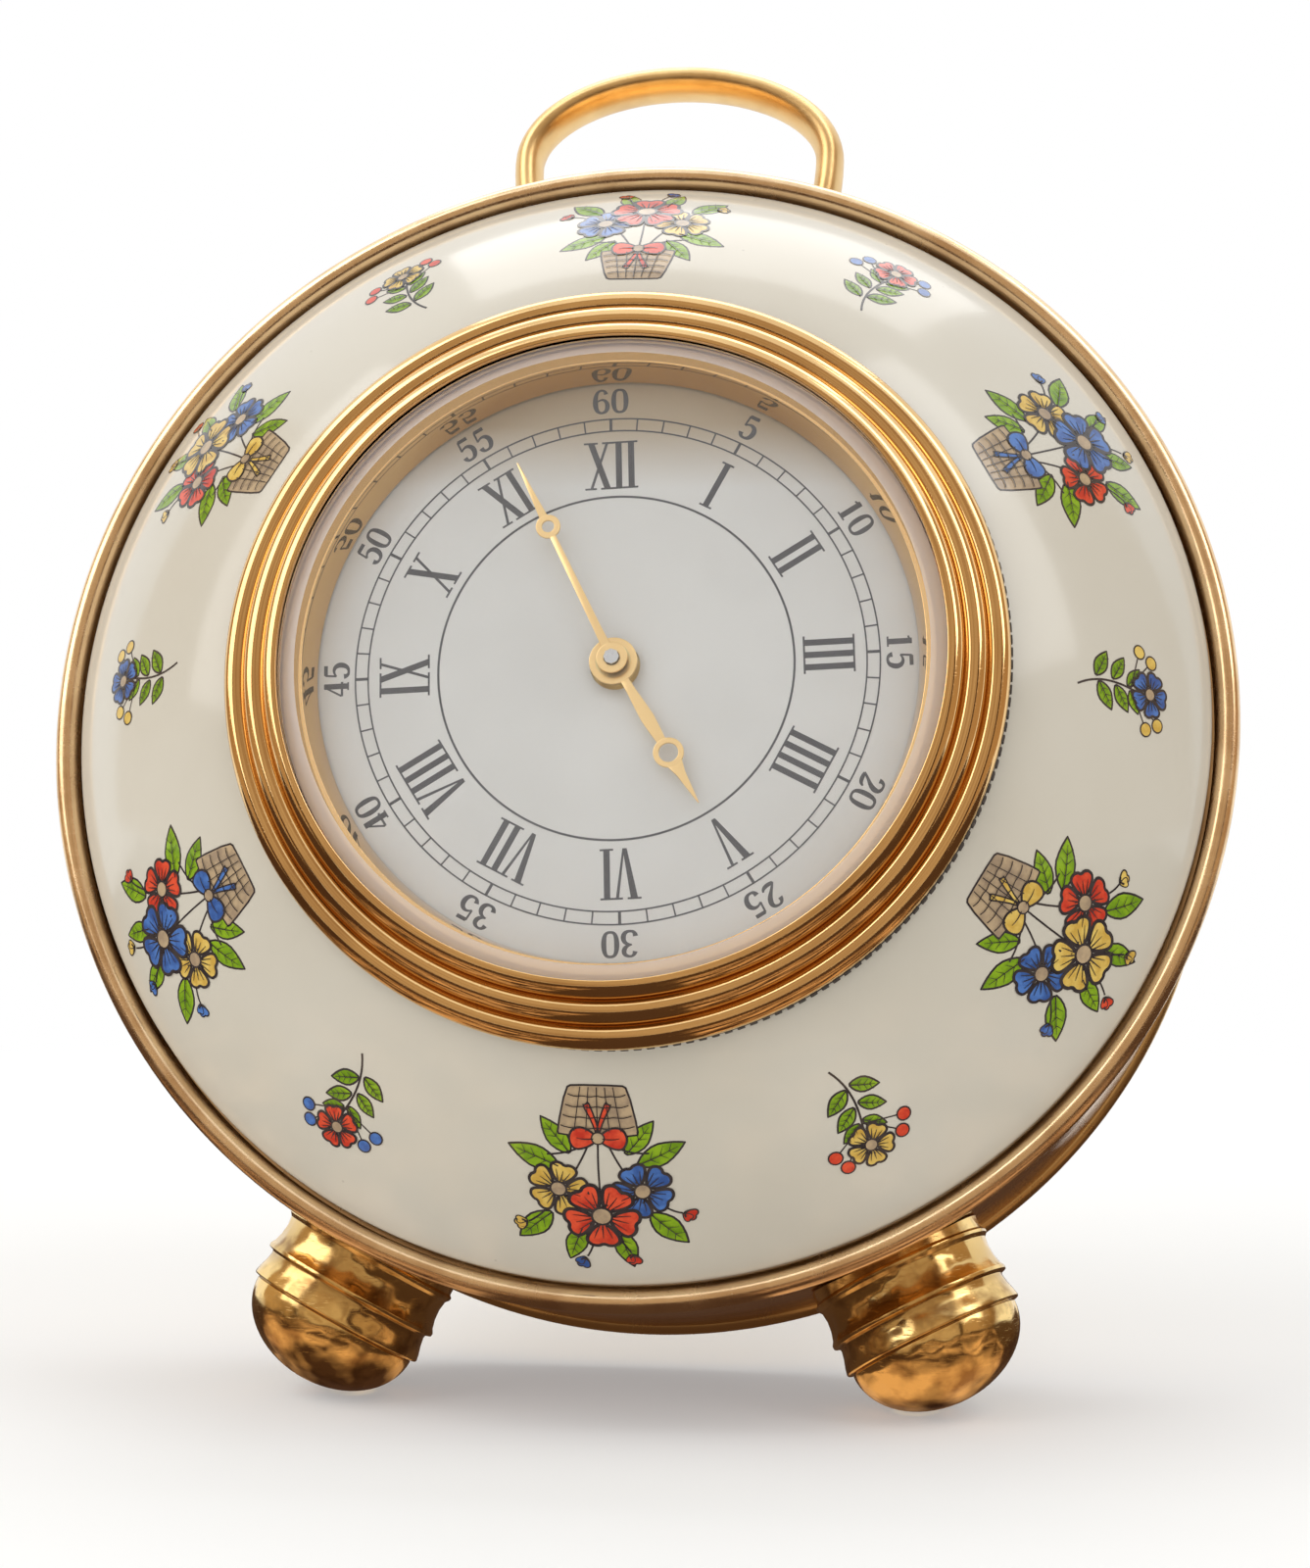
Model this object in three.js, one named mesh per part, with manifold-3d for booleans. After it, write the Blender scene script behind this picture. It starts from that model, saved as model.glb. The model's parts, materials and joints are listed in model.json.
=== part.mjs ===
// A round desk clock: an enamelled dome in a gilt drum, with a handle, two ball feet and an easel strut.
// Millimetres, +Z up. Every piece is first drawn in the case's own frame, whose Y axis is the drum's axis
// with the face towards -Y and whose origin is the centre of the front rim. The whole then leans back.
import * as THREE from "three";
import { mergeVertices } from "three/addons/utils/BufferGeometryUtils.js";
import Module from "manifold-3d";

const wasm = await Module();
wasm.setup();

// General fits
const seat = 0.3; // gap between pieces that touch
const closeSeat = 0.2; // gap between the thin pieces stacked behind the glass
const running = 0.1; // radial play of an arbor or a pin in its hole
const pressed = 0.06; // gap drawn where a hand, wheel or knob is pressed onto its arbor
const ringSides = 36;
const innerSides = 20; // round pieces inside the insert
const smallSides = 16;
const tinySides = 8;

// Drum
const leanBack = 16; // degrees
const bandRadius = 39.4;
const bandWall = 1;
const bandBack = 22; // back edge of the band, from the rim's centre plane
const rimBead = 0.8; // radius of the bead that stands out round the front
const rimShoulder = 2.2; // where the rim meets the band
const rimSkirt = 2.4; // how far the rim reaches into the band
const rimWall = 0.8;
const coverThickness = 1.4;
const coverBead = 0.65;
const coverSpigot = 3;
const coverSpigotWall = 0.9;
const wellLip = 1.5; // how far the open well in the back stays inside the insert's housing
const wellWall = 1.2;

// Enamelled dome
const domeArc = 33; // radius of its section
const domeEdgeFront = -0.36;
const domeEdgeSlope = 53; // degrees
const domeWall = 1.4;
const domeSkirt = 2; // turned edge that sits on the rim's ledge

// Bezel of the movement insert: three turned beads, each a step further in and forward
const insertTurn = -3.5; // degrees clockwise: the insert sits a little turned in the case
const beadRadius = 0.85;
const beadCount = 3;
const beadStepIn = 1.45;
const beadStepForward = 0.75;
const beadOverhang = 1.78; // middle of the outer bead, from the barrel
const lipReach = 0.66; // how far the bezel reaches in over the glass
const barrelRadius = 22.5;
const barrelWall = 0.9;
const barrelDepth = 7.75; // behind the beads
const gasketWall = 1;
const gasketDepth = 2;
const gasketFlangeReach = 0.95; // past the hole in the dome
const gasketFlangeThickness = 0.35;
const gasketEdge = 0.48; // its outer edge, between the dome and the bezel

// Glass, dial and hands
const glassThickness = 1;
const glassBevel = 0.9;
const glassBevelDepth = 0.3;
const lipRise = 1.9; // from the back of the beads to the shoulder that holds the glass
const dialSetback = 2.05; // from the back of the beads to the dial
const dialThickness = 0.4;
const dialHole = 1.6;
const reflectorFoot = 1.6;
const reflectorFlare = 0.8;
const handThickness = 0.2;
const hourHandHeight = 0.9; // over the dial
const minuteHandHeight = 1.6;
const arborHeight = 2.05;
const hourAngle = 151.4; // degrees clockwise from twelve
const minuteAngle = 336.3;
const hourHub = 1.55;
const hourRingAt = 7.1;
const hourRing = 0.98;
const hourRingHole = 0.62;
const hourTip = 10.9;
const minuteHub = 1;
const minuteRingAt = 9.9;
const minuteRing = 0.8;
const minuteRingHole = 0.4;
const minuteTip = 14.8;

// Motion work
const wheelsAcross = 150; // the insert's barrel, measured in modules of the hour wheel
const cannonTeeth = 8;
const minuteWheelTeeth = 24;
const minutePinionTeeth = 8;
const hourWheelTeeth = 32;
const settingTeeth = 8;
const centreWheelTeeth = 32;
const drivePinionTeeth = 8;
const gearThickness = 0.6;
const arborRadius = 0.5;
const pipeWall = 0.35;
const minuteWheelDirection = -90; // degrees anticlockwise from +X, seen from the front
const drivePinionDirection = 180;

// Movement
const holderWidth = 4;
const plateThickness = 1.2;
const plateRim = 1;
const coverInset = 1.2; // movement cover, inside the main plate
const movementDepth = 7.6; // from the main plate's back to the movement cover's back
const movementWall = 1;
const boardThickness = 0.6;
const moduleHalfHeight = 6.6;
const modulePlay = 0.75; // from its corners to the wall of the movement cover
const moduleRight = 2.3;
const moduleDepth = 4;
const coilLength = 9.4;
const coilRadius = 1.8;
const coilOffset = 9;
const coreWidth = 1;
const coreThickness = 0.8;
const holderFlange = 1.2;
const chipWidth = 3;
const chipHeight = 2.5;
const chipThickness = 1;
const chipRight = 6.2;
const chipStandoff = 0.7; // above the drive module
const quartzRadius = 1;
const quartzHalfLength = 2.6;
const quartzHeight = 10.2;

// Battery and its hatch
const batteryOffset = 9.5;
const batteryRadius = 5.8;
const batteryThickness = 5.4;
const wellRing = 0.8;
const clipThickness = 0.25;
const insertDepth = 23.75; // from the back of the beads to the back face
const canWall = 1;
const canNeck = 3;
const hatchRadius = 7.3;
const hatchSkirt = 2;
const hatchSkirtWall = 0.9;
const lugReach = 1.3;
const lugThickness = 0.8;
const lugSpan = 20; // degrees
const notchTurn = 45; // degrees from the closed hatch to where its lugs come free
const coinSlotLength = 8;
const coinSlotWidth = 1.3;
const coinSlotDepth = 0.5;

// Setting knob
const knobRadius = 4.2;
const knobDepth = 3;
const knobFlutes = 16;
const knobFluteDepth = 0.35;

// Feet and handle, on the middle of the drum
const footAngle = 27; // degrees from straight down
const footRadius = 6.4;
const footBarrel = 3.75; // height of the turned barrel over the band
const footGroove = 0.4;
const footCollar = 1.9;
const ballHeight = 4.55;
const ballRadius = 6.25;
const footStud = 1.5;
const footNutAcross = 5.5;
const footNutThickness = 2.4;
const handleHalfWidth = 11.4; // to the middle of the bar
const handleWaist = 9.5; // half the distance between its legs at the drum
const handleRise = 7.1; // from the drum to where it is widest
const handleArch = 6.8; // from there to its crown
const handleBar = 2.2; // across the bar, in the plane of the handle
const handleDepth = 2.9;
const handleStud = 0.9;
const handleNutAcross = 4;
const handleNutThickness = 1.6;
const studSpare = 1.2; // thread that stands past a nut

// Back cover screws and the posts that take them
const screwInset = 5.8; // from the outside of the band
const screwAngles = [45, 180, 315]; // degrees clockwise from the top
const screwRadius = 1;
const screwHead = 1.9;
const screwHeadHeight = 0.8;
const screwSlot = 0.5;
const screwDome = 0.72; // share of the head that stays flat
const screwReach = 5;
const postRadius = 2.6;
const postLength = 7;

// Easel strut
const bracketHalfWidth = 8;
const bracketInset = 4; // from the outside of the band
const bracketHeight = 11;
const bracketThickness = 1;
const earThickness = 1.2;
const hingeRise = 2.8; // over the bracket's lower edge
const hingeStandoff = 3.4; // behind the back face
const hingePin = 0.9;
const pinHeadRadius = 1.4;
const pinHeadThickness = 0.5;
const knuckleRadius = 1.7;
const strutOverhang = 5.4; // past the drum's lower edge when it is folded
const strutThickness = 1.4;
const strutTopHalfWidth = 5.6;
const strutTipHalfWidth = 3.9;
const strutTipRadius = 1.6;
const strutTipFlat = 0.45; // filed off the rolled end, where it stands on the table
const bracketScrewSpread = 4.6;
const bracketScrewDrop = 3; // under its upper edge

// Places worked out from the sizes above
const rad = THREE.MathUtils.degToRad;
const deg = THREE.MathUtils.radToDeg;
const backFace = bandBack + coverThickness;
const drumMiddle = backFace / 2;
const wellRadius = barrelRadius - wellLip;
const screwCircle = bandRadius - screwInset;
const bracketHigh = bandRadius - bracketInset;
const bracketLow = bracketHigh - bracketHeight;
const bracketScrewHeight = bracketHigh - bracketScrewDrop;
const hingeHeight = bracketLow + hingeRise; // above the drum's axis
const strutLength = hingeHeight + bandRadius + strutOverhang;
const handleShoulder = bandRadius + handleRise;
const handleCrown = handleShoulder + handleArch;
const domeEdgeRadius = bandRadius - rimBead - seat;
const domeHole = barrelRadius + closeSeat + gasketWall + closeSeat;
const domeCentreRadius = domeEdgeRadius - domeArc * Math.sin(rad(domeEdgeSlope));
const domeCentreDepth = domeEdgeFront + domeArc * Math.cos(rad(domeEdgeSlope));
const domeBack = domeEdgeFront + domeSkirt;
const gasketFlange = domeHole + gasketFlangeReach;
const bezelSeat = domeSection(domeArc, gasketFlange) - closeSeat - gasketEdge - closeSeat; // back of the beads
const lipUnderside = bezelSeat - lipRise;
const glassFront = lipUnderside + closeSeat;
const glassBack = glassFront + glassThickness;
const barrelBore = barrelRadius - barrelWall;
const bezelLip = barrelBore - lipReach;
const outerBeadRadius = barrelRadius + beadOverhang;
const barrelBack = bezelSeat + barrelDepth;
const canBack = bezelSeat + insertDepth; // back face of the insert
const reflectorBase = barrelBore - seat - reflectorFoot;
const plateRadius = barrelBore - seat - holderWidth - seat;
const coverRadius = plateRadius - coverInset;
const moduleCorner = coverRadius - movementWall - modulePlay;
const moduleLeft = -Math.sqrt(moduleCorner * moduleCorner - moduleHalfHeight * moduleHalfHeight);
const dialFront = bezelSeat + dialSetback;
const dialBack = dialFront + dialThickness;
const wheelFront = dialBack + seat;
const lowerWheelFront = wheelFront + gearThickness + seat;
const plateFront = lowerWheelFront + gearThickness + seat;
const plateBack = plateFront + plateThickness;
const centreWheelFront = plateBack + seat;
const moduleFront = centreWheelFront + gearThickness + seat;
const moduleBack = moduleFront + moduleDepth;
const boardFront = moduleBack + seat;
const boardBack = boardFront + boardThickness;
const movementBack = plateBack + movementDepth;
const batteryFront = movementBack + seat + clipThickness + seat;
const batteryBack = batteryFront + batteryThickness;
const canPlateFront = canBack - canWall;
const pipeBore = arborRadius + seat;
const pipeRadius = pipeBore + pipeWall;
const hourModule = (2 * barrelRadius) / wheelsAcross; // hour wheel and centre wheel, with their pinions
const meshDistance = (minutePinionTeeth + hourWheelTeeth) * hourModule / 2;
const minuteModule = (2 * meshDistance) / (cannonTeeth + minuteWheelTeeth); // both pairs share their centres
const driveDistance = (centreWheelTeeth + drivePinionTeeth) * hourModule / 2;

function point(radius, depth) {
  return new THREE.Vector2(radius, depth);
}

function arc(radius, depth, size, from, to, steps) {
  // angles in degrees from the +radius direction towards the front
  const points = [];
  for (let i = 0; i <= steps; i++) {
    const a = rad(from + ((to - from) * i) / steps);
    points.push(point(radius + size * Math.cos(a), depth - size * Math.sin(a)));
  }
  return points;
}

function revolve(points, sides = ringSides) {
  const loop = THREE.ShapeUtils.area(points) > 0 ? points.slice() : points.slice().reverse();
  const onAxis = loop.some((p) => p.x === 0);
  while (onAxis && (loop[0].x !== 0 || loop[loop.length - 1].x !== 0)) loop.push(loop.shift());
  if (!onAxis) loop.push(loop[0].clone());
  return new THREE.LatheGeometry(loop, sides);
}

function disc(radius, front, back, sides = smallSides) {
  return revolve([point(0, front), point(radius, front), point(radius, back), point(0, back)], sides);
}

function ring(inner, outer, front, back, sides = smallSides) {
  return revolve([point(inner, front), point(outer, front), point(outer, back), point(inner, back)], sides);
}

function at(geometry, x, z) {
  return geometry.translate(x, 0, z);
}

function plate(shape, front, back) {
  // a shape drawn in X and Z, with its thickness along Y
  const options = { depth: back - front, bevelEnabled: false, curveSegments: 4 };
  const made = new THREE.ExtrudeGeometry(shape, options);
  return made.rotateX(Math.PI / 2).translate(0, back, 0);
}

function rectangle(left, right, low, high) {
  return new THREE.Shape([point(left, low), point(right, low), point(right, high), point(left, high)]);
}

function block(left, right, front, back, low, high) {
  return plate(rectangle(left, right, low, high), front, back);
}

function polygonShape(corners, radius, turn) {
  const points = [];
  for (let i = 0; i < corners; i++) {
    const a = rad(turn) + (2 * Math.PI * i) / corners;
    points.push(point(radius * Math.cos(a), radius * Math.sin(a)));
  }
  return new THREE.Shape(points);
}

function sectorShape(inner, outer, middle, span) {
  const shape = new THREE.Shape();
  const from = rad(middle - span / 2);
  const to = rad(middle + span / 2);
  shape.absarc(0, 0, outer, from, to, false);
  shape.absarc(0, 0, inner, to, from, true);
  return shape;
}

function toSolid(geometry) {
  const bare = geometry.index ? geometry.toNonIndexed() : geometry.clone();
  bare.deleteAttribute("normal");
  bare.deleteAttribute("uv");
  const merged = mergeVertices(bare, 1e-4);
  const mesh = new wasm.Mesh({
    numProp: 3,
    vertProperties: merged.attributes.position.array,
    triVerts: new Uint32Array(merged.index.array),
  });
  return new wasm.Manifold(mesh);
}

function toGeometry(solid) {
  const mesh = solid.getMesh();
  const geometry = new THREE.BufferGeometry();
  geometry.setAttribute("position", new THREE.BufferAttribute(mesh.vertProperties, 3));
  geometry.setIndex(new THREE.BufferAttribute(mesh.triVerts, 1));
  geometry.computeVertexNormals();
  return geometry;
}

function join(...geometries) {
  return toGeometry(geometries.map(toSolid).reduce((whole, next) => whole.add(next)));
}

function cut(geometry, ...tools) {
  return toGeometry(tools.map(toSolid).reduce((whole, tool) => whole.subtract(tool), toSolid(geometry)));
}

// Drum

function frontRim() {
  const ledge = domeBack + seat;
  const skirtRadius = bandRadius - bandWall - seat;
  return revolve([
    point(bandRadius - rimBead, ledge),
    ...arc(bandRadius, 0, rimBead, 180, -60, 6),
    point(bandRadius, rimShoulder),
    point(skirtRadius, rimShoulder),
    point(skirtRadius, rimShoulder + rimSkirt),
    point(skirtRadius - rimWall, rimShoulder + rimSkirt),
    point(skirtRadius - rimWall, ledge),
  ]);
}

function domeSection(size, radius) {
  // depth of the dome's section of that arc radius, at a distance from the axis
  const across = (radius - domeCentreRadius) / size;
  return domeCentreDepth - size * Math.sqrt(1 - across * across);
}

function enamelDome() {
  const inner = domeArc - domeWall;
  const edgeAngle = 90 - domeEdgeSlope;
  const angleAt = (radius, size) => deg(Math.acos((radius - domeCentreRadius) / size));
  const outerHole = angleAt(domeHole, domeArc);
  const innerHole = angleAt(domeHole, inner);
  const innerEdge = angleAt(domeEdgeRadius - domeWall, inner);
  return revolve([
    ...arc(domeCentreRadius, domeCentreDepth, domeArc, edgeAngle, outerHole, 6),
    ...arc(domeCentreRadius, domeCentreDepth, inner, innerHole, innerEdge, 3),
    point(domeEdgeRadius - domeWall, domeBack),
    point(domeEdgeRadius, domeBack),
  ]);
}

function clockPlace(radius, clockwise) {
  return { x: radius * Math.sin(rad(clockwise)), z: radius * Math.cos(rad(clockwise)) };
}

function radialStud(radius, low, high, clockwise, middle) {
  // a round bar along a radius of the drum, between two distances from its axis
  const bar = new THREE.CylinderGeometry(radius, radius, high - low, smallSides);
  bar.rotateX(Math.PI / 2).translate(0, 0, (low + high) / 2);
  return bar.rotateY(rad(clockwise)).translate(0, middle, 0);
}

function uprightStud(radius, x, low, high, middle) {
  const bar = new THREE.CylinderGeometry(radius, radius, high - low, tinySides);
  return bar.rotateX(Math.PI / 2).translate(x, middle, (low + high) / 2);
}

function drumBand() {
  const bore = bandRadius - bandWall;
  const front = rimShoulder + seat;
  const back = bandBack - seat;
  const wall = ring(bore, bandRadius, front, back, ringSides);
  const posts = screwAngles.map((angle) => {
    const webBack = bandBack - coverSpigot - seat;
    const post = block(-postRadius, postRadius, back - postLength, webBack, screwCircle, bore + bandWall / 2);
    const round = at(disc(postRadius, back - postLength, back), 0, screwCircle);
    return join(post, round).rotateY(rad(angle));
  });
  const screwHoles = screwAngles.map((angle) => {
    const place = clockPlace(screwCircle, angle);
    return at(disc(screwRadius + seat, back - postLength - 1, back + 1, tinySides), place.x, place.z);
  });
  const footHoles = [180 - footAngle, 180 + footAngle].map((angle) =>
    radialStud(footStud + seat, bore - 2, bandRadius + 2, angle, drumMiddle));
  const handleHoles = [-handleWaist, handleWaist].map((x) =>
    uprightStud(handleStud + seat, x, bore - 6, bandRadius + 2, drumMiddle));
  return cut(join(wall, ...posts), ...screwHoles, ...footHoles, ...handleHoles);
}

function backCover() {
  const spigot = bandRadius - bandWall - seat;
  const collarFront = canBack + seat;
  const body = revolve([
    point(wellRadius, collarFront),
    point(wellRadius, backFace - 0.4),
    point(wellRadius + 0.4, backFace),
    point(bandRadius - 0.2, backFace),
    ...arc(bandRadius - 0.1, backFace - coverBead - 0.05, coverBead, -90, 80, 3),
    point(bandRadius - 0.4, bandBack),
    point(spigot, bandBack),
    point(spigot, bandBack - coverSpigot),
    point(spigot - coverSpigotWall, bandBack - coverSpigot),
    point(spigot - coverSpigotWall, bandBack),
    point(wellRadius + wellWall, bandBack),
    point(wellRadius + wellWall, collarFront),
  ]);
  const holes = screwAngles.map((angle) => {
    const place = clockPlace(screwCircle, angle);
    return at(disc(screwRadius + seat, bandBack - 1, backFace + 1, tinySides), place.x, place.z);
  });
  const bracketHoles = [-bracketScrewSpread, bracketScrewSpread].map((x) =>
    at(disc(screwRadius + seat, bandBack - 1, backFace + 1, tinySides), x, bracketScrewHeight));
  return cut(body, ...holes, ...bracketHoles);
}

function slottedScrew(head, length) {
  // the head stands on the surface at depth 0 and the thread reaches towards the front
  const top = seat + screwHeadHeight;
  const body = revolve([
    point(0, -length),
    point(screwRadius, -length),
    point(screwRadius, seat),
    point(head, seat),
    point(head, seat + screwHeadHeight / 2),
    point(head * screwDome, top),
    point(0, top),
  ], tinySides);
  const slotBottom = top - screwHeadHeight / 2;
  const slot = block(-head - 1, head + 1, slotBottom, top + 1, -screwSlot / 2, screwSlot / 2);
  return cut(body, slot);
}

function hexNut(across, bore, front, back) {
  const hex = plate(polygonShape(6, across / Math.sqrt(3), 30), front, back);
  return cut(hex, disc(bore, front - 1, back + 1, tinySides));
}

// Feet and handle

function ballFoot() {
  // drawn standing on +Z, with its height measured from the drum's axis
  const base = bandRadius + seat;
  const groove = bandRadius + footBarrel;
  const ball = groove + footCollar;
  const turned = [
    point(0, bandRadius - 1.5),
    point(footRadius - 0.25, bandRadius - 1.5),
    point(footRadius - 0.2, base + 0.3),
    point(footRadius, base + 0.6),
    point(footRadius + 0.05, (base + groove) / 2),
    point(footRadius, groove - 0.35),
    point(footRadius - footGroove, groove),
    point(footRadius - 0.08, groove + 0.35),
    point(footRadius - 0.05, ball - 0.3),
    point(footRadius - 0.3, ball),
  ];
  const steps = 6;
  for (let i = 0; i <= steps; i++) {
    const a = (Math.PI / 2) * (i / steps);
    turned.push(point(i === steps ? 0 : ballRadius * Math.cos(a), ball + 0.15 + ballHeight * Math.sin(a)));
  }
  const body = revolve(turned, smallSides).rotateX(Math.PI / 2);
  body.translate(0, drumMiddle, 0);
  const drum = disc(base, -10, backFace + 10, ringSides).rotateY(rad(footAngle));
  const studEnd = bandRadius - bandWall - footNutThickness - studSpare - seat;
  const stud = radialStud(footStud, studEnd, base + 2, 0, drumMiddle);
  return join(cut(body, drum), stud);
}

function footNut() {
  const outside = bandRadius - bandWall - seat;
  const nut = hexNut(footNutAcross, footStud + seat, -outside, footNutThickness - outside);
  return nut.rotateX(Math.PI / 2).translate(0, drumMiddle, 0);
}

class HandleLine extends THREE.Curve {
  // up one leg, over the crown and down the other leg
  getPoint(t, target = new THREE.Vector3()) {
    const side = t < 0.5 ? -1 : 1;
    const share = Math.abs(2 * t - 1);
    const legShare = 0.36;
    if (share > 1 - legShare) {
      const up = (1 - share) / legShare;
      const low = Math.sqrt(bandRadius * bandRadius - handleWaist * handleWaist) + seat;
      const swell = Math.sin((up * Math.PI) / 2);
      const x = handleWaist + (handleHalfWidth - handleWaist) * swell;
      return target.set(side * x, 0, low + (handleShoulder - low) * up);
    }
    const a = (share / (1 - legShare)) * (Math.PI / 2);
    const x = handleHalfWidth * Math.sin(a);
    return target.set(side * x, 0, handleShoulder + (handleCrown - handleShoulder) * Math.cos(a));
  }
}

function handleBow() {
  const section = new THREE.Shape();
  section.absellipse(0, 0, handleDepth / 2, handleBar / 2, 0, 2 * Math.PI);
  const options = { steps: 24, curveSegments: 4, extrudePath: new HandleLine() };
  const bow = new THREE.ExtrudeGeometry(section, options);
  bow.translate(0, drumMiddle, 0);
  const drum = disc(bandRadius + seat, 0, backFace, ringSides);
  const inside = bandRadius - bandWall;
  const reach = Math.sqrt(inside * inside - handleWaist * handleWaist);
  const low = reach - handleNutThickness - studSpare - 1.4;
  const studs = [-handleWaist, handleWaist].map((x) =>
    uprightStud(handleStud, x, low, reach + 3.5, drumMiddle));
  return join(cut(bow, drum), ...studs);
}

function handleNut(side) {
  const inside = bandRadius - bandWall;
  const outer = handleWaist + handleNutAcross / Math.sqrt(3);
  const top = Math.sqrt(inside * inside - outer * outer) - seat;
  const nut = hexNut(handleNutAcross, handleStud + seat, -top, handleNutThickness - top);
  return nut.rotateX(Math.PI / 2).translate(side * handleWaist, drumMiddle, 0);
}

// Insert: bezel, glass, dial and housing

function bezel() {
  const step = Math.hypot(beadStepIn, beadStepForward);
  const along = deg(Math.atan2(beadStepForward, -beadStepIn));
  const crease = deg(Math.acos(step / 2 / beadRadius));
  const profile = [point(barrelRadius, bezelSeat)];
  for (let i = 0; i < beadCount; i++) {
    const radius = outerBeadRadius - beadStepIn * i;
    const depth = bezelSeat - beadStepForward * i;
    const from = i === 0 ? 0 : along - 180 + crease;
    const inner = deg(Math.acos((bezelLip - radius) / beadRadius));
    const to = i === beadCount - 1 ? inner : along - crease;
    profile.push(...arc(radius, depth, beadRadius, from, to, 4));
  }
  profile.push(point(bezelLip, lipUnderside));
  profile.push(point(barrelBore, lipUnderside));
  profile.push(point(barrelBore, barrelBack));
  profile.push(point(barrelRadius, barrelBack));
  return revolve(profile);
}

function crystal() {
  const edge = barrelBore - seat;
  return revolve([
    point(0, glassFront),
    point(bezelLip - glassBevel, glassFront),
    point(bezelLip, glassFront + glassBevelDepth),
    point(edge, glassFront + glassBevelDepth),
    point(edge, glassBack),
    point(0, glassBack),
  ]);
}

function reflectorRing() {
  const edge = barrelBore - seat;
  return revolve([
    point(reflectorBase + reflectorFlare, glassBack + closeSeat),
    point(edge, glassBack + closeSeat),
    point(edge, dialFront - closeSeat),
    point(reflectorBase, dialFront - closeSeat),
  ]);
}

function dial() {
  return ring(dialHole, barrelBore - seat, dialFront, dialBack, ringSides);
}

function insertGasket() {
  const inner = barrelRadius + closeSeat;
  const front = bezelSeat + closeSeat;
  const flangeBack = front + gasketFlangeThickness;
  return revolve([
    point(inner, front),
    point(gasketFlange, front),
    point(gasketFlange, domeSection(domeArc, gasketFlange) - closeSeat),
    point(domeHole - closeSeat, domeSection(domeArc, domeHole) - closeSeat),
    point(domeHole - closeSeat, flangeBack + gasketDepth),
    point(domeHole - closeSeat - gasketWall, flangeBack + gasketDepth),
    point(inner, flangeBack),
  ]);
}

function movementHolder() {
  const neckBore = barrelBore - seat - canWall;
  const front = dialBack + seat;
  const neckFront = barrelBack - canNeck;
  return revolve([
    point(plateRadius + seat, front),
    point(barrelBore - seat, front),
    point(barrelBore - seat, neckFront - seat),
    point(neckBore - seat, neckFront - seat),
    point(neckBore - seat, plateBack + seat + holderFlange),
    point(coverRadius + seat, plateBack + seat + holderFlange),
    point(coverRadius + seat, plateBack + seat),
    point(plateRadius + seat, plateBack + seat),
  ], innerSides);
}

function insertCan() {
  const neck = barrelBore - seat;
  const shell = revolve([
    point(neck, barrelBack - canNeck),
    point(neck, barrelBack + seat),
    point(barrelRadius, barrelBack + seat),
    point(barrelRadius, canBack - 0.6),
    point(barrelRadius - 0.6, canBack),
    point(0, canBack),
    point(0, canPlateFront),
    point(neck - canWall, canPlateFront),
    point(neck - canWall, barrelBack - canNeck),
  ], innerSides);
  const hatchHole = disc(hatchRadius + seat, canPlateFront - 1, canBack + 1, 24);
  const notches = [0, 180].map((side) => {
    const shape = sectorShape(hatchRadius - 1, hatchRadius + lugReach + seat, side - notchTurn, lugSpan + 6);
    return plate(shape, canPlateFront - 1, canBack + 1);
  });
  const mouth = join(hatchHole, ...notches).translate(0, 0, batteryOffset);
  const hole = disc(arborRadius + seat, canPlateFront - 1, canBack + 1, tinySides);
  return cut(shell, mouth, at(hole, settingAxis.x, settingAxis.z));
}

function batteryHatch() {
  const skirtFront = canPlateFront - hatchSkirt;
  const lugFront = canPlateFront - seat - lugThickness;
  const body = revolve([
    point(0, canPlateFront),
    point(hatchRadius - hatchSkirtWall, canPlateFront),
    point(hatchRadius - hatchSkirtWall, skirtFront),
    point(hatchRadius, skirtFront),
    point(hatchRadius, canBack),
    point(0, canBack),
  ], 24);
  const lugs = [0, 180].map((side) => plate(
    sectorShape(hatchRadius - hatchSkirtWall / 2, hatchRadius + lugReach, side, lugSpan),
    lugFront, lugFront + lugThickness));
  const half = coinSlotLength / 2;
  const slotFront = canBack - coinSlotDepth;
  const slot = block(-half, half, slotFront, canBack + 1, -coinSlotWidth / 2, coinSlotWidth / 2);
  return cut(join(body, ...lugs), slot);
}

// Movement

function gearShape(teeth, size, toothAt, bore = 0) {
  const pitch = (teeth * size) / 2;
  const tip = pitch + 0.8 * size;
  const root = pitch - 1.15 * size;
  const step = (2 * Math.PI) / teeth;
  const points = [];
  for (let i = 0; i < teeth; i++) {
    const middle = rad(toothAt) + i * step;
    const corners = [[root, -0.27], [tip, -0.09], [tip, 0.09], [root, 0.27]];
    for (const [radius, share] of corners) {
      const a = middle + share * step;
      points.push(point(radius * Math.cos(a), radius * Math.sin(a)));
    }
  }
  const shape = new THREE.Shape(points);
  if (bore > 0) shape.holes.push(new THREE.Path().absarc(0, 0, bore, 0, 2 * Math.PI, true));
  return shape;
}

function gear(teeth, size, toothAt, front, bore = 0) {
  return plate(gearShape(teeth, size, toothAt, bore), front, front + gearThickness);
}

function gapTowards(direction, teeth) {
  // where a tooth stands so that a gap between two teeth faces that direction
  return direction + 180 / teeth;
}

function axisAt(distance, direction) {
  return { x: distance * Math.cos(rad(direction)), z: distance * Math.sin(rad(direction)) };
}

const minuteWheelAxis = axisAt(meshDistance, minuteWheelDirection);
const settingAxis = axisAt(2 * meshDistance, minuteWheelDirection);
const driveAxis = axisAt(driveDistance, drivePinionDirection);

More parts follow.
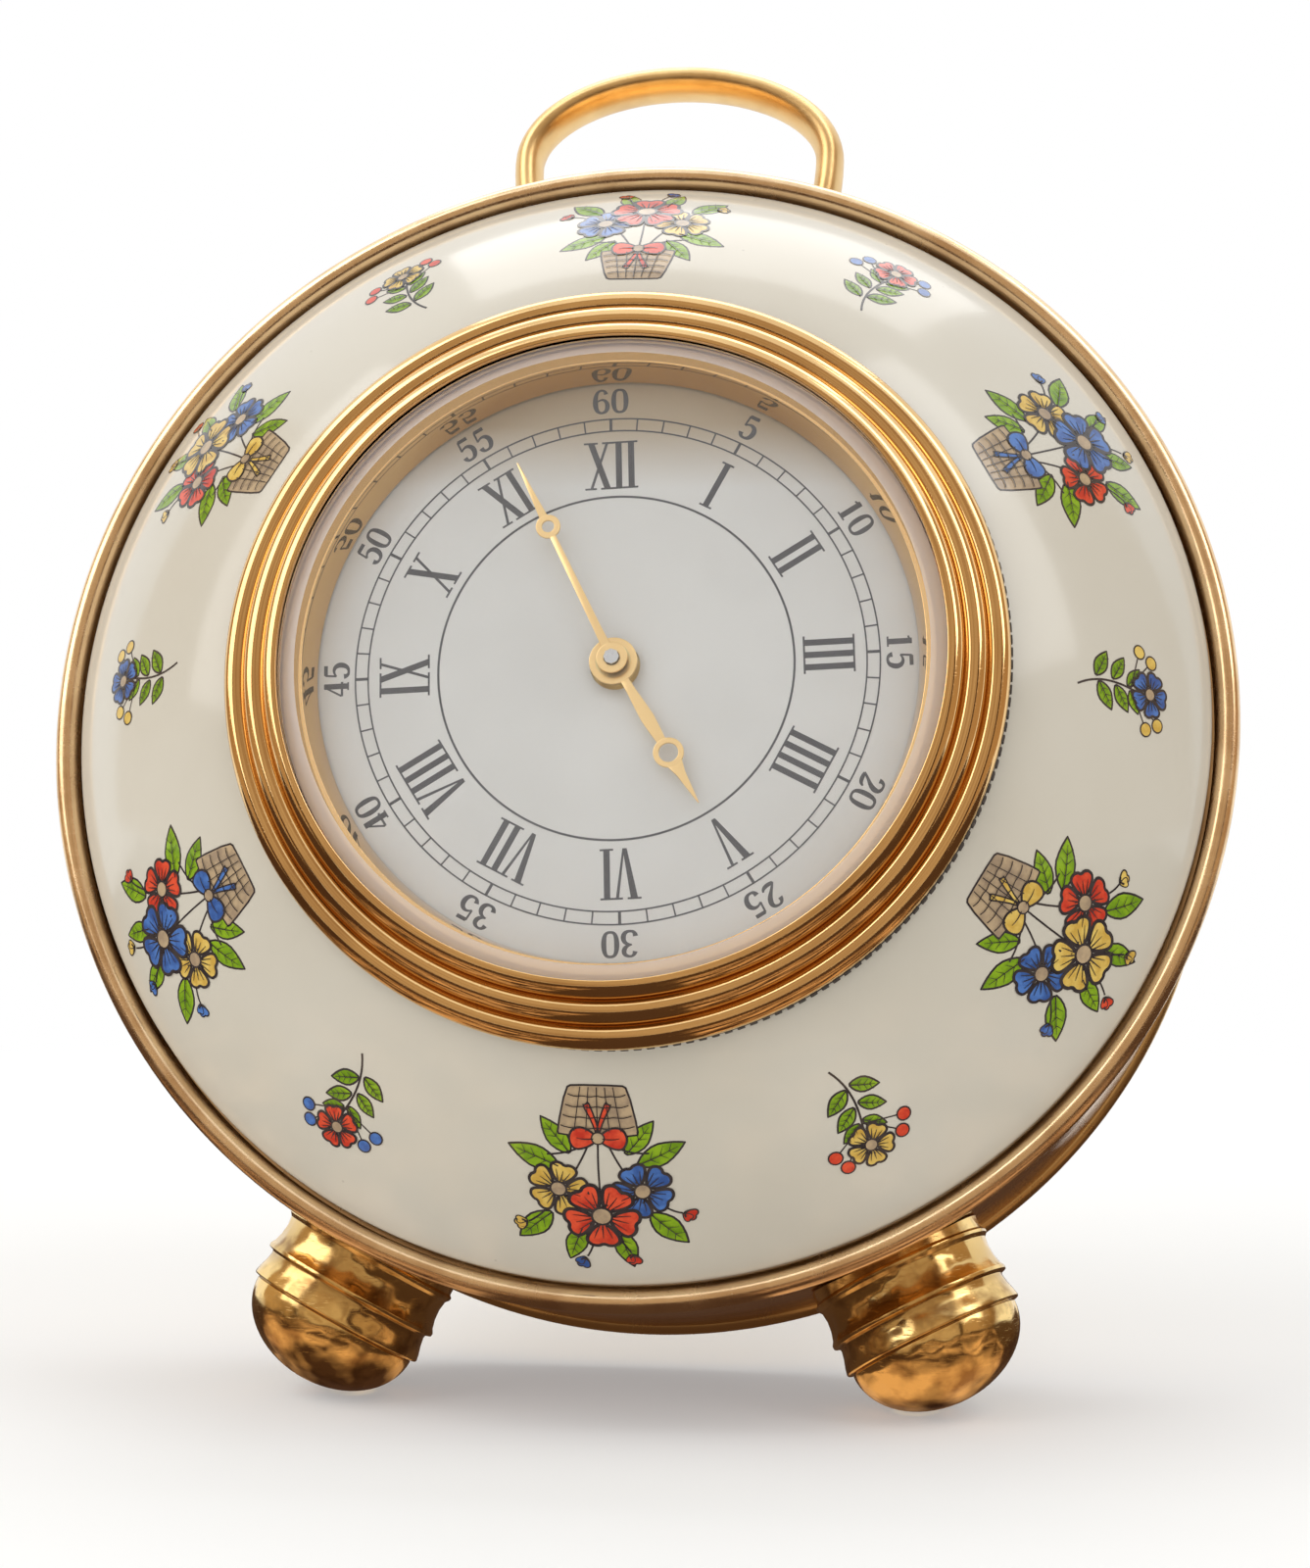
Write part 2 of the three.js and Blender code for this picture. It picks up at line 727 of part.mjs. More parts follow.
function cannonArbor() {
  const tip = dialFront - arborHeight;
  const shaft = disc(arborRadius, tip, moduleFront + 1.5, tinySides);
  return join(shaft, gear(cannonTeeth, minuteModule, minuteWheelDirection, lowerWheelFront));
}

function centreWheel() {
  return gear(centreWheelTeeth, hourModule, drivePinionDirection, centreWheelFront, arborRadius + pressed);
}

function hourWheel() {
  const bore = pipeBore;
  const wheel = gear(hourWheelTeeth, hourModule, minuteWheelDirection, wheelFront, bore);
  const pipeFront = dialFront - hourHandHeight - handThickness;
  const pipe = ring(bore, pipeRadius, pipeFront, wheelFront + 0.3, smallSides);
  return cut(join(wheel, pipe), disc(bore, dialFront - 3, wheelFront + 2, smallSides));
}

function minuteWheel() {
  const back = minuteWheelDirection + 180;
  const pinion = gear(minutePinionTeeth, hourModule, gapTowards(back, minutePinionTeeth), wheelFront);
  const neck = disc(arborRadius + pressed + 0.15, wheelFront + 0.2, lowerWheelFront + 0.2, tinySides);
  const wheel = gear(minuteWheelTeeth, minuteModule, gapTowards(back, minuteWheelTeeth), lowerWheelFront);
  return cut(join(pinion, neck, wheel), disc(arborRadius - 0.1, wheelFront - 1, plateFront, tinySides));
}

function settingShaft() {
  const shaft = disc(arborRadius, lowerWheelFront, canBack + knobDepth - 0.3, tinySides);
  return join(shaft, gear(settingTeeth, minuteModule, minuteWheelDirection + 180, lowerWheelFront));
}

function drivePinion() {
  const shaft = disc(arborRadius, plateFront + 0.2, moduleFront + 2, tinySides);
  const facing = gapTowards(drivePinionDirection + 180, drivePinionTeeth);
  return join(shaft, gear(drivePinionTeeth, hourModule, facing, centreWheelFront));
}

function settingKnob() {
  const points = [];
  for (let i = 0; i < knobFlutes * 2; i++) {
    const a = (Math.PI * i) / knobFlutes;
    const radius = i % 2 ? knobRadius : knobRadius - knobFluteDepth;
    points.push(point(radius * Math.cos(a), radius * Math.sin(a)));
  }
  const front = canBack + seat;
  const body = plate(new THREE.Shape(points), front, front + knobDepth);
  return cut(body, disc(arborRadius + pressed, front - 1, canBack + knobDepth, tinySides));
}

function mainPlate() {
  const disk = disc(plateRadius, plateFront, plateBack, innerSides);
  const rim = ring(plateRadius - plateRim, plateRadius, dialBack + seat, plateFront + 0.2, innerSides);
  const post = disc(arborRadius - 0.1 - running, wheelFront, plateFront + 0.2, tinySides);
  const body = join(disk, rim, at(post, minuteWheelAxis.x, minuteWheelAxis.z));
  const holes = [{ x: 0, z: 0 }, settingAxis, driveAxis].map((place) =>
    at(disc(arborRadius + running, plateFront - 1, plateBack + 1, tinySides), place.x, place.z));
  return cut(body, ...holes);
}

function movementCover() {
  const skirtFront = plateBack + seat;
  const shell = revolve([
    point(coverRadius - movementWall, skirtFront),
    point(coverRadius, skirtFront),
    point(coverRadius, movementBack),
    point(0, movementBack),
    point(0, movementBack - movementWall),
    point(coverRadius - movementWall, movementBack - movementWall),
  ], innerSides);
  const wellInner = batteryRadius + seat + clipThickness + seat;
  const wellBack = canPlateFront - hatchSkirt - seat;
  const well = at(ring(wellInner, wellInner + wellRing, movementBack - 0.3, wellBack, 24), 0, batteryOffset);
  const hole = disc(arborRadius + running, movementBack - 3, movementBack + 1, tinySides);
  const shaftHole = at(hole, settingAxis.x, settingAxis.z);
  const keep = disc(barrelBore - seat - canWall - seat, skirtFront, wellBack, innerSides);
  const whole = toSolid(join(shell, well)).intersect(toSolid(keep));
  return cut(toGeometry(whole), shaftHole);
}

function driveModule() {
  const body = block(moduleLeft, moduleRight, moduleFront, moduleBack, -moduleHalfHeight, moduleHalfHeight);
  const bores = [{ x: 0, z: 0 }, driveAxis].map((place) =>
    at(disc(arborRadius + running, moduleFront - 1, moduleFront + 2.4, tinySides), place.x, place.z));
  return cut(body, ...bores);
}

const coreMiddle = (moduleFront + moduleBack) / 2;

function statorCore() {
  const half = coilLength / 2 + 2.2;
  const inner = half - coreWidth;
  const left = moduleRight + seat;
  const right = coilOffset + coreWidth / 2;
  const shape = new THREE.Shape([
    point(left, -half), point(right, -half), point(right, half), point(left, half),
    point(left, inner), point(right - coreWidth, inner),
    point(right - coreWidth, -inner), point(left, -inner),
  ]);
  return plate(shape, coreMiddle - coreThickness / 2, coreMiddle + coreThickness / 2);
}

function alongZ(geometry) {
  return geometry.rotateX(Math.PI / 2).translate(coilOffset, coreMiddle, 0);
}

const bobbinBore = Math.hypot(coreWidth, coreThickness) / 2 + 0.1;
const bobbinTube = bobbinBore + 0.25;

function coilBobbin() {
  const half = coilLength / 2 + 0.5;
  const flange = 0.5;
  const rim = coilRadius + 0.3;
  return alongZ(revolve([
    point(bobbinBore, -half), point(rim, -half), point(rim, flange - half), point(bobbinTube, flange - half),
    point(bobbinTube, half - flange), point(rim, half - flange), point(rim, half), point(bobbinBore, half),
  ], tinySides));
}

function coilWinding() {
  const half = coilLength / 2 - closeSeat;
  return alongZ(ring(bobbinTube + closeSeat, coilRadius, -half, half, tinySides));
}

function circuitBoard() {
  const board = disc(coverRadius - movementWall - seat, boardFront, boardBack, 24);
  const low = moduleHalfHeight + chipStandoff;
  const front = boardFront - chipThickness;
  const chip = block(chipRight - chipWidth, chipRight, front, boardFront + 0.2, low, low + chipHeight);
  const quartz = hingeBar(quartzRadius, quartzHalfLength, tinySides);
  quartz.translate(0, boardFront - quartzRadius + 0.1, quartzHeight);
  const hole = disc(arborRadius + seat, boardFront - 1, boardBack + 1, tinySides);
  const shaftHole = at(hole, settingAxis.x, settingAxis.z);
  return cut(join(board, chip, quartz), shaftHole);
}

function battery() {
  const cap = batteryRadius - 0.9;
  return at(revolve([
    point(0, batteryFront), point(cap, batteryFront), point(cap, batteryFront + 0.5),
    point(batteryRadius, batteryFront + 0.9), point(batteryRadius, batteryBack), point(0, batteryBack),
  ], 24), 0, batteryOffset);
}

function innerContact() {
  const front = movementBack + seat;
  const back = front + clipThickness;
  const leaf = at(disc(batteryRadius - 1.6, front, back, tinySides), 0, batteryOffset);
  const tail = block(-1, 1, front, back, batteryOffset - batteryRadius - 0.2, batteryOffset);
  return join(leaf, tail);
}

function sideContact() {
  const inner = batteryRadius + seat;
  const wall = sectorShape(inner, inner + clipThickness, 0, 50);
  return at(plate(wall, batteryFront + 1, batteryBack - 0.4), 0, batteryOffset);
}

// Hands, drawn pointing to twelve

function handBlade(widths, front) {
  // widths lists distance from the hub and half width, out to the tip
  const left = widths.map(([along, half]) => point(-half, along));
  const right = widths.map(([along, half]) => point(half, along)).reverse();
  return plate(new THREE.Shape([...left, ...right]), front, front + handThickness);
}

function ringedHand(hub, hole, eyeAt, eyeRadius, eyeHole, blades, front) {
  const back = front + handThickness;
  const hubDisc = disc(hub, front, back, smallSides);
  const eye = at(disc(eyeRadius, front, back, smallSides), 0, eyeAt);
  const body = join(hubDisc, eye, ...blades.map((widths) => handBlade(widths, front)));
  const throughHub = disc(hole, front - 1, back + 1, smallSides);
  const throughEye = at(disc(eyeHole, front - 1, back + 1, smallSides), 0, eyeAt);
  return cut(body, throughHub, throughEye);
}

function hourHand() {
  const front = dialFront - hourHandHeight - handThickness;
  const inner = [[1, 0.26], [2.4, 0.3], [4.4, 0.44], [hourRingAt - hourRing + 0.1, 0.3]];
  const outer = [[hourRingAt + hourRing - 0.15, 0.5], [hourRingAt + hourRing + 0.6, 0.3], [hourTip, 0.04]];
  const eye = [hourRingAt, hourRing, hourRingHole];
  return ringedHand(hourHub, pipeRadius + pressed, ...eye, [inner, outer], front);
}

function minuteHand() {
  const front = dialFront - minuteHandHeight - handThickness;
  const inner = [[0.6, 0.3], [2.2, 0.26], [minuteRingAt - minuteRing + 0.1, 0.2]];
  const outer = [[minuteRingAt + minuteRing - 0.15, 0.28], [minuteTip, 0.05]];
  const eye = [minuteRingAt, minuteRing, minuteRingHole];
  return ringedHand(minuteHub, arborRadius + pressed, ...eye, [inner, outer], front);
}

// Easel strut, drawn folded, hanging from its pin at the origin

function hingeBar(radius, half, sides = smallSides) {
  return disc(radius, -half, half, sides).rotateZ(Math.PI / 2);
}

function strutBracket() {
  const front = backFace + seat;
  const back = front + bracketThickness;
  const pinDepth = backFace + hingeStandoff;
  const half = earThickness / 2;
  const base = block(-bracketHalfWidth, bracketHalfWidth, front, back, bracketLow, bracketHigh);
  const ears = [-1, 1].map((side) => {
    const middle = side * (bracketHalfWidth - half);
    const eye = hingeBar(knuckleRadius, half).translate(middle, pinDepth, hingeHeight);
    const low = hingeHeight - knuckleRadius;
    const web = block(middle - half, middle + half, front, pinDepth, low, low + 2 * knuckleRadius);
    return join(eye, web);
  });
  const bore = hingeBar(hingePin + running, bracketHalfWidth + 1).translate(0, pinDepth, hingeHeight);
  const holes = [-bracketScrewSpread, bracketScrewSpread].map((x) =>
    at(disc(screwRadius + seat, backFace, back + 1, tinySides), x, bracketScrewHeight));
  return cut(join(base, ...ears), bore, ...holes);
}

function hingePinPiece() {
  const half = bracketHalfWidth + seat;
  const heads = [-1, 1].map((side) =>
    hingeBar(pinHeadRadius, pinHeadThickness / 2, 12).translate(side * (half + pinHeadThickness / 2), 0, 0));
  return join(hingeBar(hingePin, half + pinHeadThickness / 2, 12), ...heads);
}

function strut(openAngle, tilt, pinHeight) {
  const knuckleHalf = bracketHalfWidth - earThickness - seat;
  const toPlate = hingeStandoff - seat - bracketThickness - seat;
  const heel = (toPlate - (strutThickness / 2) * Math.cos(openAngle)) / Math.sin(openAngle);
  const shape = new THREE.Shape([
    point(-strutTopHalfWidth, heel), point(-strutTopHalfWidth, -4), point(-strutTipHalfWidth, -strutLength),
    point(strutTipHalfWidth, -strutLength), point(strutTopHalfWidth, -4), point(strutTopHalfWidth, heel),
  ]);
  const blade = plate(shape, -strutThickness / 2, strutThickness / 2);
  const knuckle = hingeBar(knuckleRadius, knuckleHalf);
  const tip = hingeBar(strutTipRadius, strutTipHalfWidth).translate(0, 0, -strutLength);
  const span = 3 * strutLength;
  const table = new THREE.BoxGeometry(span, span, span).translate(0, 0, -pinHeight - span / 2).rotateX(-tilt);
  return cut(join(blade, knuckle, tip), table, hingeBar(hingePin + running, knuckleHalf + 1));
}

// Materials

function finish(color, roughness, metalness, extra = {}) {
  return new THREE.MeshStandardMaterial({ color, roughness, metalness, ...extra });
}

const gilt = finish(0xd9a441, 0.16, 1);
const polishedGilt = finish(0xe3b45a, 0.08, 1);
const enamel = finish(0xebe5d6, 0.12, 0);
const clearGlass = finish(0xf4f6f8, 0.04, 0, { transparent: true, opacity: 0.25 });
const silveredDial = finish(0xd9d6cf, 0.55, 0.1);
const handGilt = finish(0xdfae62, 0.25, 1);
const brass = finish(0xc9a24a, 0.3, 1);
const steel = finish(0xa6a8ab, 0.35, 1);
const copper = finish(0xb5622f, 0.4, 1);
const blackRubber = finish(0x1d1c1b, 0.85, 0);
const blackPlastic = finish(0x26262a, 0.5, 0);
const whitePlastic = finish(0xdedcd4, 0.5, 0);
const greenBoard = finish(0x2f6b45, 0.45, 0);

// Assembly

const clock = new THREE.Group();
const leaning = new THREE.Group();
const insert = new THREE.Group();
clock.add(leaning);
leaning.add(insert);
leaning.rotation.x = -rad(leanBack);
insert.rotation.y = rad(insertTurn);

function place(parent, name, geometry, material) {
  const mesh = new THREE.Mesh(geometry, material);
  mesh.name = name;
  parent.add(mesh);
  return mesh;
}

function turningGroup(parent, name, x, y, z) {
  const group = new THREE.Group();
  group.name = name;
  group.position.set(x, y, z);
  parent.add(group);
  return group;
}

place(leaning, "front_rim", frontRim(), gilt);
place(leaning, "enamel_dome", enamelDome(), enamel);
place(leaning, "drum_band", drumBand(), gilt);
place(leaning, "back_cover", backCover(), gilt);
screwAngles.forEach((angle, i) => {
  const spot = clockPlace(screwCircle, angle);
  const screw = slottedScrew(screwHead, screwReach);
  place(leaning, "back_screw_" + (i + 1), screw, gilt).position.set(spot.x, backFace, spot.z);
});

const feet = [["right", -1], ["left", 1]].map(([side, way]) => {
  const turn = rad(180 + way * footAngle);
  const foot = place(leaning, "foot_" + side, ballFoot(), gilt);
  foot.rotation.y = turn;
  place(leaning, "foot_nut_" + side, footNut(), brass).rotation.y = turn;
  return foot;
});
place(leaning, "handle", handleBow(), gilt);
place(leaning, "handle_nut_left", handleNut(-1), brass);
place(leaning, "handle_nut_right", handleNut(1), brass);

place(leaning, "strut_bracket", strutBracket(), gilt);
[-1, 1].forEach((side, i) => {
  const screw = slottedScrew(screwHead, seat + bracketThickness + coverThickness + 0.6);
  const spot = [side * bracketScrewSpread, backFace + seat + bracketThickness, bracketScrewHeight];
  place(leaning, "bracket_screw_" + (i + 1), screw, gilt).position.set(...spot);
});

place(insert, "bezel", bezel(), polishedGilt);
place(insert, "crystal", crystal(), clearGlass);
place(insert, "reflector_ring", reflectorRing(), polishedGilt);
place(insert, "dial", dial(), silveredDial);
place(insert, "insert_gasket", insertGasket(), blackRubber);
place(insert, "movement_holder", movementHolder(), whitePlastic);
place(insert, "insert_can", insertCan(), brass);
place(insert, "main_plate", mainPlate(), blackPlastic);
place(insert, "movement_cover", movementCover(), blackPlastic);
place(insert, "drive_module", driveModule(), blackPlastic);
place(insert, "stator_core", statorCore(), steel);
place(insert, "coil_bobbin", coilBobbin(), whitePlastic);
place(insert, "coil_winding", coilWinding(), copper);
place(insert, "circuit_board", circuitBoard(), greenBoard);
place(insert, "battery", battery(), steel);
place(insert, "battery_contact_inner", innerContact(), steel);
place(insert, "battery_contact_side", sideContact(), steel);

const hatchTurns = turningGroup(insert, "hatch_axis", 0, 0, batteryOffset);
place(hatchTurns, "battery_hatch", batteryHatch(), brass);

const minuteTurns = turningGroup(insert, "minute_axis", 0, 0, 0);
place(minuteTurns, "cannon_arbor", cannonArbor(), steel);
place(minuteTurns, "centre_wheel", centreWheel(), brass);
place(minuteTurns, "minute_hand", minuteHand(), handGilt).rotation.y = rad(minuteAngle);

const hourTurns = turningGroup(insert, "hour_axis", 0, 0, 0);
place(hourTurns, "hour_wheel", hourWheel(), brass);
place(hourTurns, "hour_hand", hourHand(), handGilt).rotation.y = rad(hourAngle);

const wheelTurns = turningGroup(insert, "minute_wheel_axis", minuteWheelAxis.x, 0, minuteWheelAxis.z);
place(wheelTurns, "minute_wheel", minuteWheel(), brass);

const driveTurns = turningGroup(insert, "drive_axis", driveAxis.x, 0, driveAxis.z);
place(driveTurns, "drive_pinion", drivePinion(), steel);

const settingTurns = turningGroup(insert, "setting_axis", settingAxis.x, 0, settingAxis.z);
place(settingTurns, "setting_shaft", settingShaft(), steel);
place(settingTurns, "setting_knob", settingKnob(), brass);

// The strut opens until its rolled end stands on the table with the two feet
clock.updateMatrixWorld(true);
const tableDepth = Math.min(...feet.map((foot) => new THREE.Box3().setFromObject(foot, true).min.z));
const strutTurns = turningGroup(leaning, "strut_axis", 0, backFace + hingeStandoff, hingeHeight);
clock.updateMatrixWorld(true);
const pinHeight = strutTurns.getWorldPosition(new THREE.Vector3()).z - tableDepth;
const strutTilt = Math.acos((pinHeight - strutTipRadius + strutTipFlat) / strutLength);
const openAngle = strutTilt + rad(leanBack);
place(strutTurns, "hinge_pin", hingePinPiece(), gilt);
place(strutTurns, "strut", strut(openAngle, strutTilt, pinHeight), gilt).rotation.x = openAngle;

// Origin under the middle of the whole, on the table
clock.updateMatrixWorld(true);
const bounds = new THREE.Box3().setFromObject(clock, true);
leaning.position.set(-(bounds.min.x + bounds.max.x) / 2, -(bounds.min.y + bounds.max.y) / 2, -bounds.min.z);

export default clock;
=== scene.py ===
"""A round enamelled desk clock in a gilt case, standing on a pale studio floor.

Pieces are drawn in millimetres, upright and facing -Y, and are placed in metres when they are ready.
"""

import json
import math

import bpy
from mathutils import Matrix, Vector


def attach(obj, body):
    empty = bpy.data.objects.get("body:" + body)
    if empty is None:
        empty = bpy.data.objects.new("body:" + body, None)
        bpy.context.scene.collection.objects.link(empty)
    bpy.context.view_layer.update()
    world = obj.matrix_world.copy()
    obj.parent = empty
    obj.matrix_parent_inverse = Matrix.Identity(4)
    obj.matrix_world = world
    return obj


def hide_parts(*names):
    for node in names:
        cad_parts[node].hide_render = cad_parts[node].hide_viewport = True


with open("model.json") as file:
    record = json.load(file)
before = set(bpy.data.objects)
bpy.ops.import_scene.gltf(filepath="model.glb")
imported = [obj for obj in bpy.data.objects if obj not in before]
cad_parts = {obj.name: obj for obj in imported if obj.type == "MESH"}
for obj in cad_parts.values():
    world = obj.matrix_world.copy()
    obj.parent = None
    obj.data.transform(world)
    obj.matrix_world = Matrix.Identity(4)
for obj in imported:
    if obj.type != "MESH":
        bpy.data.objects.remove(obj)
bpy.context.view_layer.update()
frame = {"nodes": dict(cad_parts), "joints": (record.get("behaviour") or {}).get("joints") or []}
nodes = frame["nodes"]
joints = {joint["name"]: joint for joint in frame["joints"]}

# The clock's own frames: its drum leans back, and the movement sits a little turned in it
MM = 0.001
LEAN = math.radians(16)
INSERT_TURN = math.radians(-3.5)
case_origin = Vector(joints["minute_turn"]["pos_m"])
CASE = Matrix.Translation(case_origin) @ Matrix.Rotation(-LEAN, 4, "X") @ Matrix.Scale(MM, 4)
INSERT = CASE @ Matrix.Rotation(INSERT_TURN, 4, "Y")

# Drum, dome and insert, as the solids have them
BAND_RADIUS = 39.4
BAND_WALL = 1
BAND_BACK = 22
BACK_FACE = 23.4
DRUM_MIDDLE = BACK_FACE / 2
RIM_BEAD = 0.74
RIM_SHOULDER = 2.2
DOME_ARC = 33
DOME_EDGE = 38.3
DOME_EDGE_FRONT = -0.36
DOME_SLOPE = math.radians(53)
DOME_WALL = 1.4
DOME_BACK = 1.64
DOME_HOLE = 23.9
DOME_CENTRE_RADIUS = DOME_EDGE - DOME_ARC * math.sin(DOME_SLOPE)
DOME_CENTRE_DEPTH = DOME_EDGE_FRONT + DOME_ARC * math.cos(DOME_SLOPE)
WELL_RADIUS = 21
CAN_BACK = 12
SCREW_CIRCLE = 33.6
SCREW_ANGLES = (45, 180, 315)
BEAD_RADIUS = 0.84
OUTER_BEAD = 24.28
BEAD_STEP = (1.45, 0.75)
BEZEL_SEAT = -11.725
BEZEL_LIP = 21.2
BARREL_RADIUS = 22.5
BARREL_BORE = 21.6
BARREL_BACK = -4
LIP_UNDERSIDE = -13.65
GLASS_FRONT = -13.45
GLASS_BACK = -12.45
GLASS_BEVEL = 1.05
DIAL_FRONT = -9.7
DIAL_BACK = -9.3
# Between these heights the dial's top takes a painted shade, for the shadow under the bezel.
PAINTED_SHADE_FROM = 0.0612  # metres over the table
PAINTED_SHADE_TO = 0.0655
REFLECTOR_BASE = 19.35
REFLECTOR_FLARE = 0.52
HAND_THICKNESS = 0.2
HOUR_HAND_FRONT = -10.8
MINUTE_HAND_FRONT = -11.5
HOUR_ANGLE = 151.4
MINUTE_ANGLE = 336.3
FOOT_ANGLE = 27
SEAT = 0.3

FINE = 240  # steps round the big turned pieces
MEDIUM = 120
SMALL = 64

WELD = 1e-4  # points this close become one
TOUCHING = 1e-6
SHARP_BEND = math.radians(22)
EASE_LIMIT = 0.45  # of the shorter edge at a corner
BEVEL_FROM = math.radians(30)


# Modelling helpers


def object_mode():
    if bpy.context.object and bpy.context.object.mode != "OBJECT":
        bpy.ops.object.mode_set(mode="OBJECT")


def clear_selection():
    object_mode()
    bpy.ops.object.select_all(action="DESELECT")


def only(*pieces):
    clear_selection()
    for piece in pieces:
        piece.select_set(True)
    bpy.context.view_layer.objects.active = pieces[0]


def start_editing():
    """Puts all of the active piece under the modelling operators."""
    bpy.ops.object.mode_set(mode="EDIT")
    bpy.ops.mesh.select_all(action="SELECT")


def close_up():
    """Welds the points that meet, turns the faces outwards and ends the editing."""
    bpy.ops.mesh.select_all(action="SELECT")
    bpy.ops.mesh.remove_doubles(threshold=WELD)
    bpy.ops.mesh.normals_make_consistent(inside=False)
    object_mode()


def discard(*pieces):
    for piece in pieces:
        bpy.data.objects.remove(piece)


def joined(pieces, name):
    only(*pieces)
    bpy.ops.object.join()
    piece = bpy.context.active_object
    piece.name = name
    piece.data.name = name
    return piece


def copied(piece, name, matrix=None):
    twin = piece.copy()
    twin.data = piece.data.copy()
    twin.name = name
    bpy.context.scene.collection.objects.link(twin)
    if matrix is not None:
        twin.data.transform(matrix)
    return twin


def converted(piece, target):
    only(piece)
    bpy.ops.object.convert(target=target)
    return bpy.context.active_object


def modified(piece, kind, **settings):
    """Gives the piece one modifier and applies it."""
    only(piece)
    change = piece.modifiers.new("change", kind)
    for key, value in settings.items():
        setattr(change, key, value)
    bpy.ops.object.modifier_apply(modifier=change.name)


def turn(degrees_clockwise):
    """Turns a piece drawn at twelve to another place on the face, seen from the front."""
    return Matrix.Rotation(math.radians(degrees_clockwise), 4, "Y")


def quarter(axis):
    return Matrix.Rotation(math.pi / 2, 4, axis)


def shift(x=0, y=0, z=0):
    return Matrix.Translation((x, y, z))


def oblong(left, right, low, high):
    """A plain outline: as (radius, depth) that of a turned disc or ring, as (x, z) that of a plate."""
    return [(left, low), (right, low), (right, high), (left, high)]


def oval(across, along, start, stop, steps):
    """Points round the origin, from one angle to another, on an ellipse with those half widths."""
    angles = [math.radians(start + (stop - start) * i / steps) for i in range(steps + 1)]
    return [(across * math.cos(a), along * math.sin(a)) for a in angles]


def arc(radius, depth, size, start, stop, steps):
    """Points on a circle round (radius, depth), with angles from outwards towards the front."""
    return [(radius + x, depth - y) for x, y in oval(size, size, start, stop, steps)]


def eased(outline, size, steps=3):
    """The outline with its sharp corners rounded, but for those on the axis or left of it."""
    points = []
    for i, corner in enumerate(outline):
        here = Vector(corner)
        before = Vector(outline[i - 1]) - here
        after = Vector(outline[(i + 1) % len(outline)]) - here
        shorter = min(before.length, after.length)
        if here.x < TOUCHING or shorter < TOUCHING or math.pi - before.angle(after) < SHARP_BEND:
            points.append(corner)
            continue
        reach = min(size, shorter * EASE_LIMIT)
        first = here + before.normalized() * reach
        last = here + after.normalized() * reach
        for k in range(steps + 1):
            t = k / steps
            p = first * (1 - t) ** 2 + here * 2 * t * (1 - t) + last * t * t
            points.append((p.x, p.y))
    return points


def plane(name, size=1):
    clear_selection()
    bpy.ops.mesh.primitive_plane_add(size=size, location=(0, 0, 0))
    made = bpy.context.active_object
    made.name = name
    return made


def wire(name, points, closed=False):
    """A chain of edges through points of (x, y), drawn by extruding one vertex."""
    piece = plane(name)
    start_editing()
    bpy.ops.mesh.merge(type="CENTER")
    bpy.ops.transform.translate(value=(*points[0], 0))
    route = points + points[:1] if closed else points
    for last, p in zip(route, route[1:]):
        step = (p[0] - last[0], p[1] - last[1], 0)
        bpy.ops.mesh.extrude_region_move(TRANSFORM_OT_translate={"value": step})
    bpy.ops.mesh.select_all(action="SELECT")
    bpy.ops.mesh.remove_doubles(threshold=WELD / 10)
    return piece


def turned(name, outline, steps, ease):
    """A lathe-turned piece about the Y axis, from a closed outline of (radius, depth)."""
    points = eased(outline, ease)
    on_axis = any(p[0] < TOUCHING for p in points)
    while on_axis and not (points[0][0] < TOUCHING and points[-1][0] < TOUCHING):
        points = points[1:] + points[:1]
    piece = wire(name, points, closed=not on_axis)
    bpy.ops.mesh.spin(steps=steps, angle=2 * math.pi, center=(0, 0, 0), axis=(0, 1, 0))
    close_up()
    return piece


def bar(name, length, half, along, ease):
    """A short round bar between -length/2 and length/2 of its axis, X or Z."""
    piece = turned(name, oblong(0, half, -length / 2, length / 2), SMALL, ease)
    piece.data.transform(quarter("Z" if along == "X" else "X"))
    return piece


def cut_out(name, outline, front, back, ease=0, segments=2):
    """A flat piece of the outline in X and Z, between two depths, with its edges eased."""
    piece = wire(name, outline, closed=True)
    bpy.ops.mesh.edge_face_add()
    bpy.ops.mesh.extrude_region_move(TRANSFORM_OT_translate={"value": (0, 0, back - front)})
    bpy.ops.mesh.select_all(action="SELECT")
    bpy.ops.mesh.normals_make_consistent(inside=False)
    object_mode()
    piece.data.transform(shift(y=back) @ quarter("X"))
    if ease:
        modified(piece, "BEVEL", width=ease, segments=segments, limit_method="ANGLE", angle_limit=BEVEL_FROM)
    return piece


def rounded_block(name, low, high, ease):
    """A block between two corners, with its edges eased."""
    clear_selection()
    middle = [(a + b) / 2 for a, b in zip(low, high)]
    bpy.ops.mesh.primitive_cube_add(size=1, location=middle)
    piece = bpy.context.active_object
    piece.name = name
    start_editing()
    bpy.ops.transform.resize(value=[b - a for a, b in zip(low, high)])
    if ease:
        bpy.ops.mesh.bevel(offset=ease, segments=2)
    only(piece)
    bpy.ops.object.transform_apply(location=True, rotation=True, scale=True)
    return piece


def swept(name, section, path):
    """The closed section of (x, y) drawn along a path of (x, y), as a mesh lying in the XY plane."""
    die = converted(wire("die", section, closed=True), "CURVE")
    line = converted(wire(name, path), "CURVE")
    line.data.dimensions = "3D"
    line.data.bevel_mode = "OBJECT"
    line.data.bevel_object = die
    line.data.use_fill_caps = True
    piece = converted(line, "MESH")
    discard(die)
    start_editing()
    close_up()
    return piece


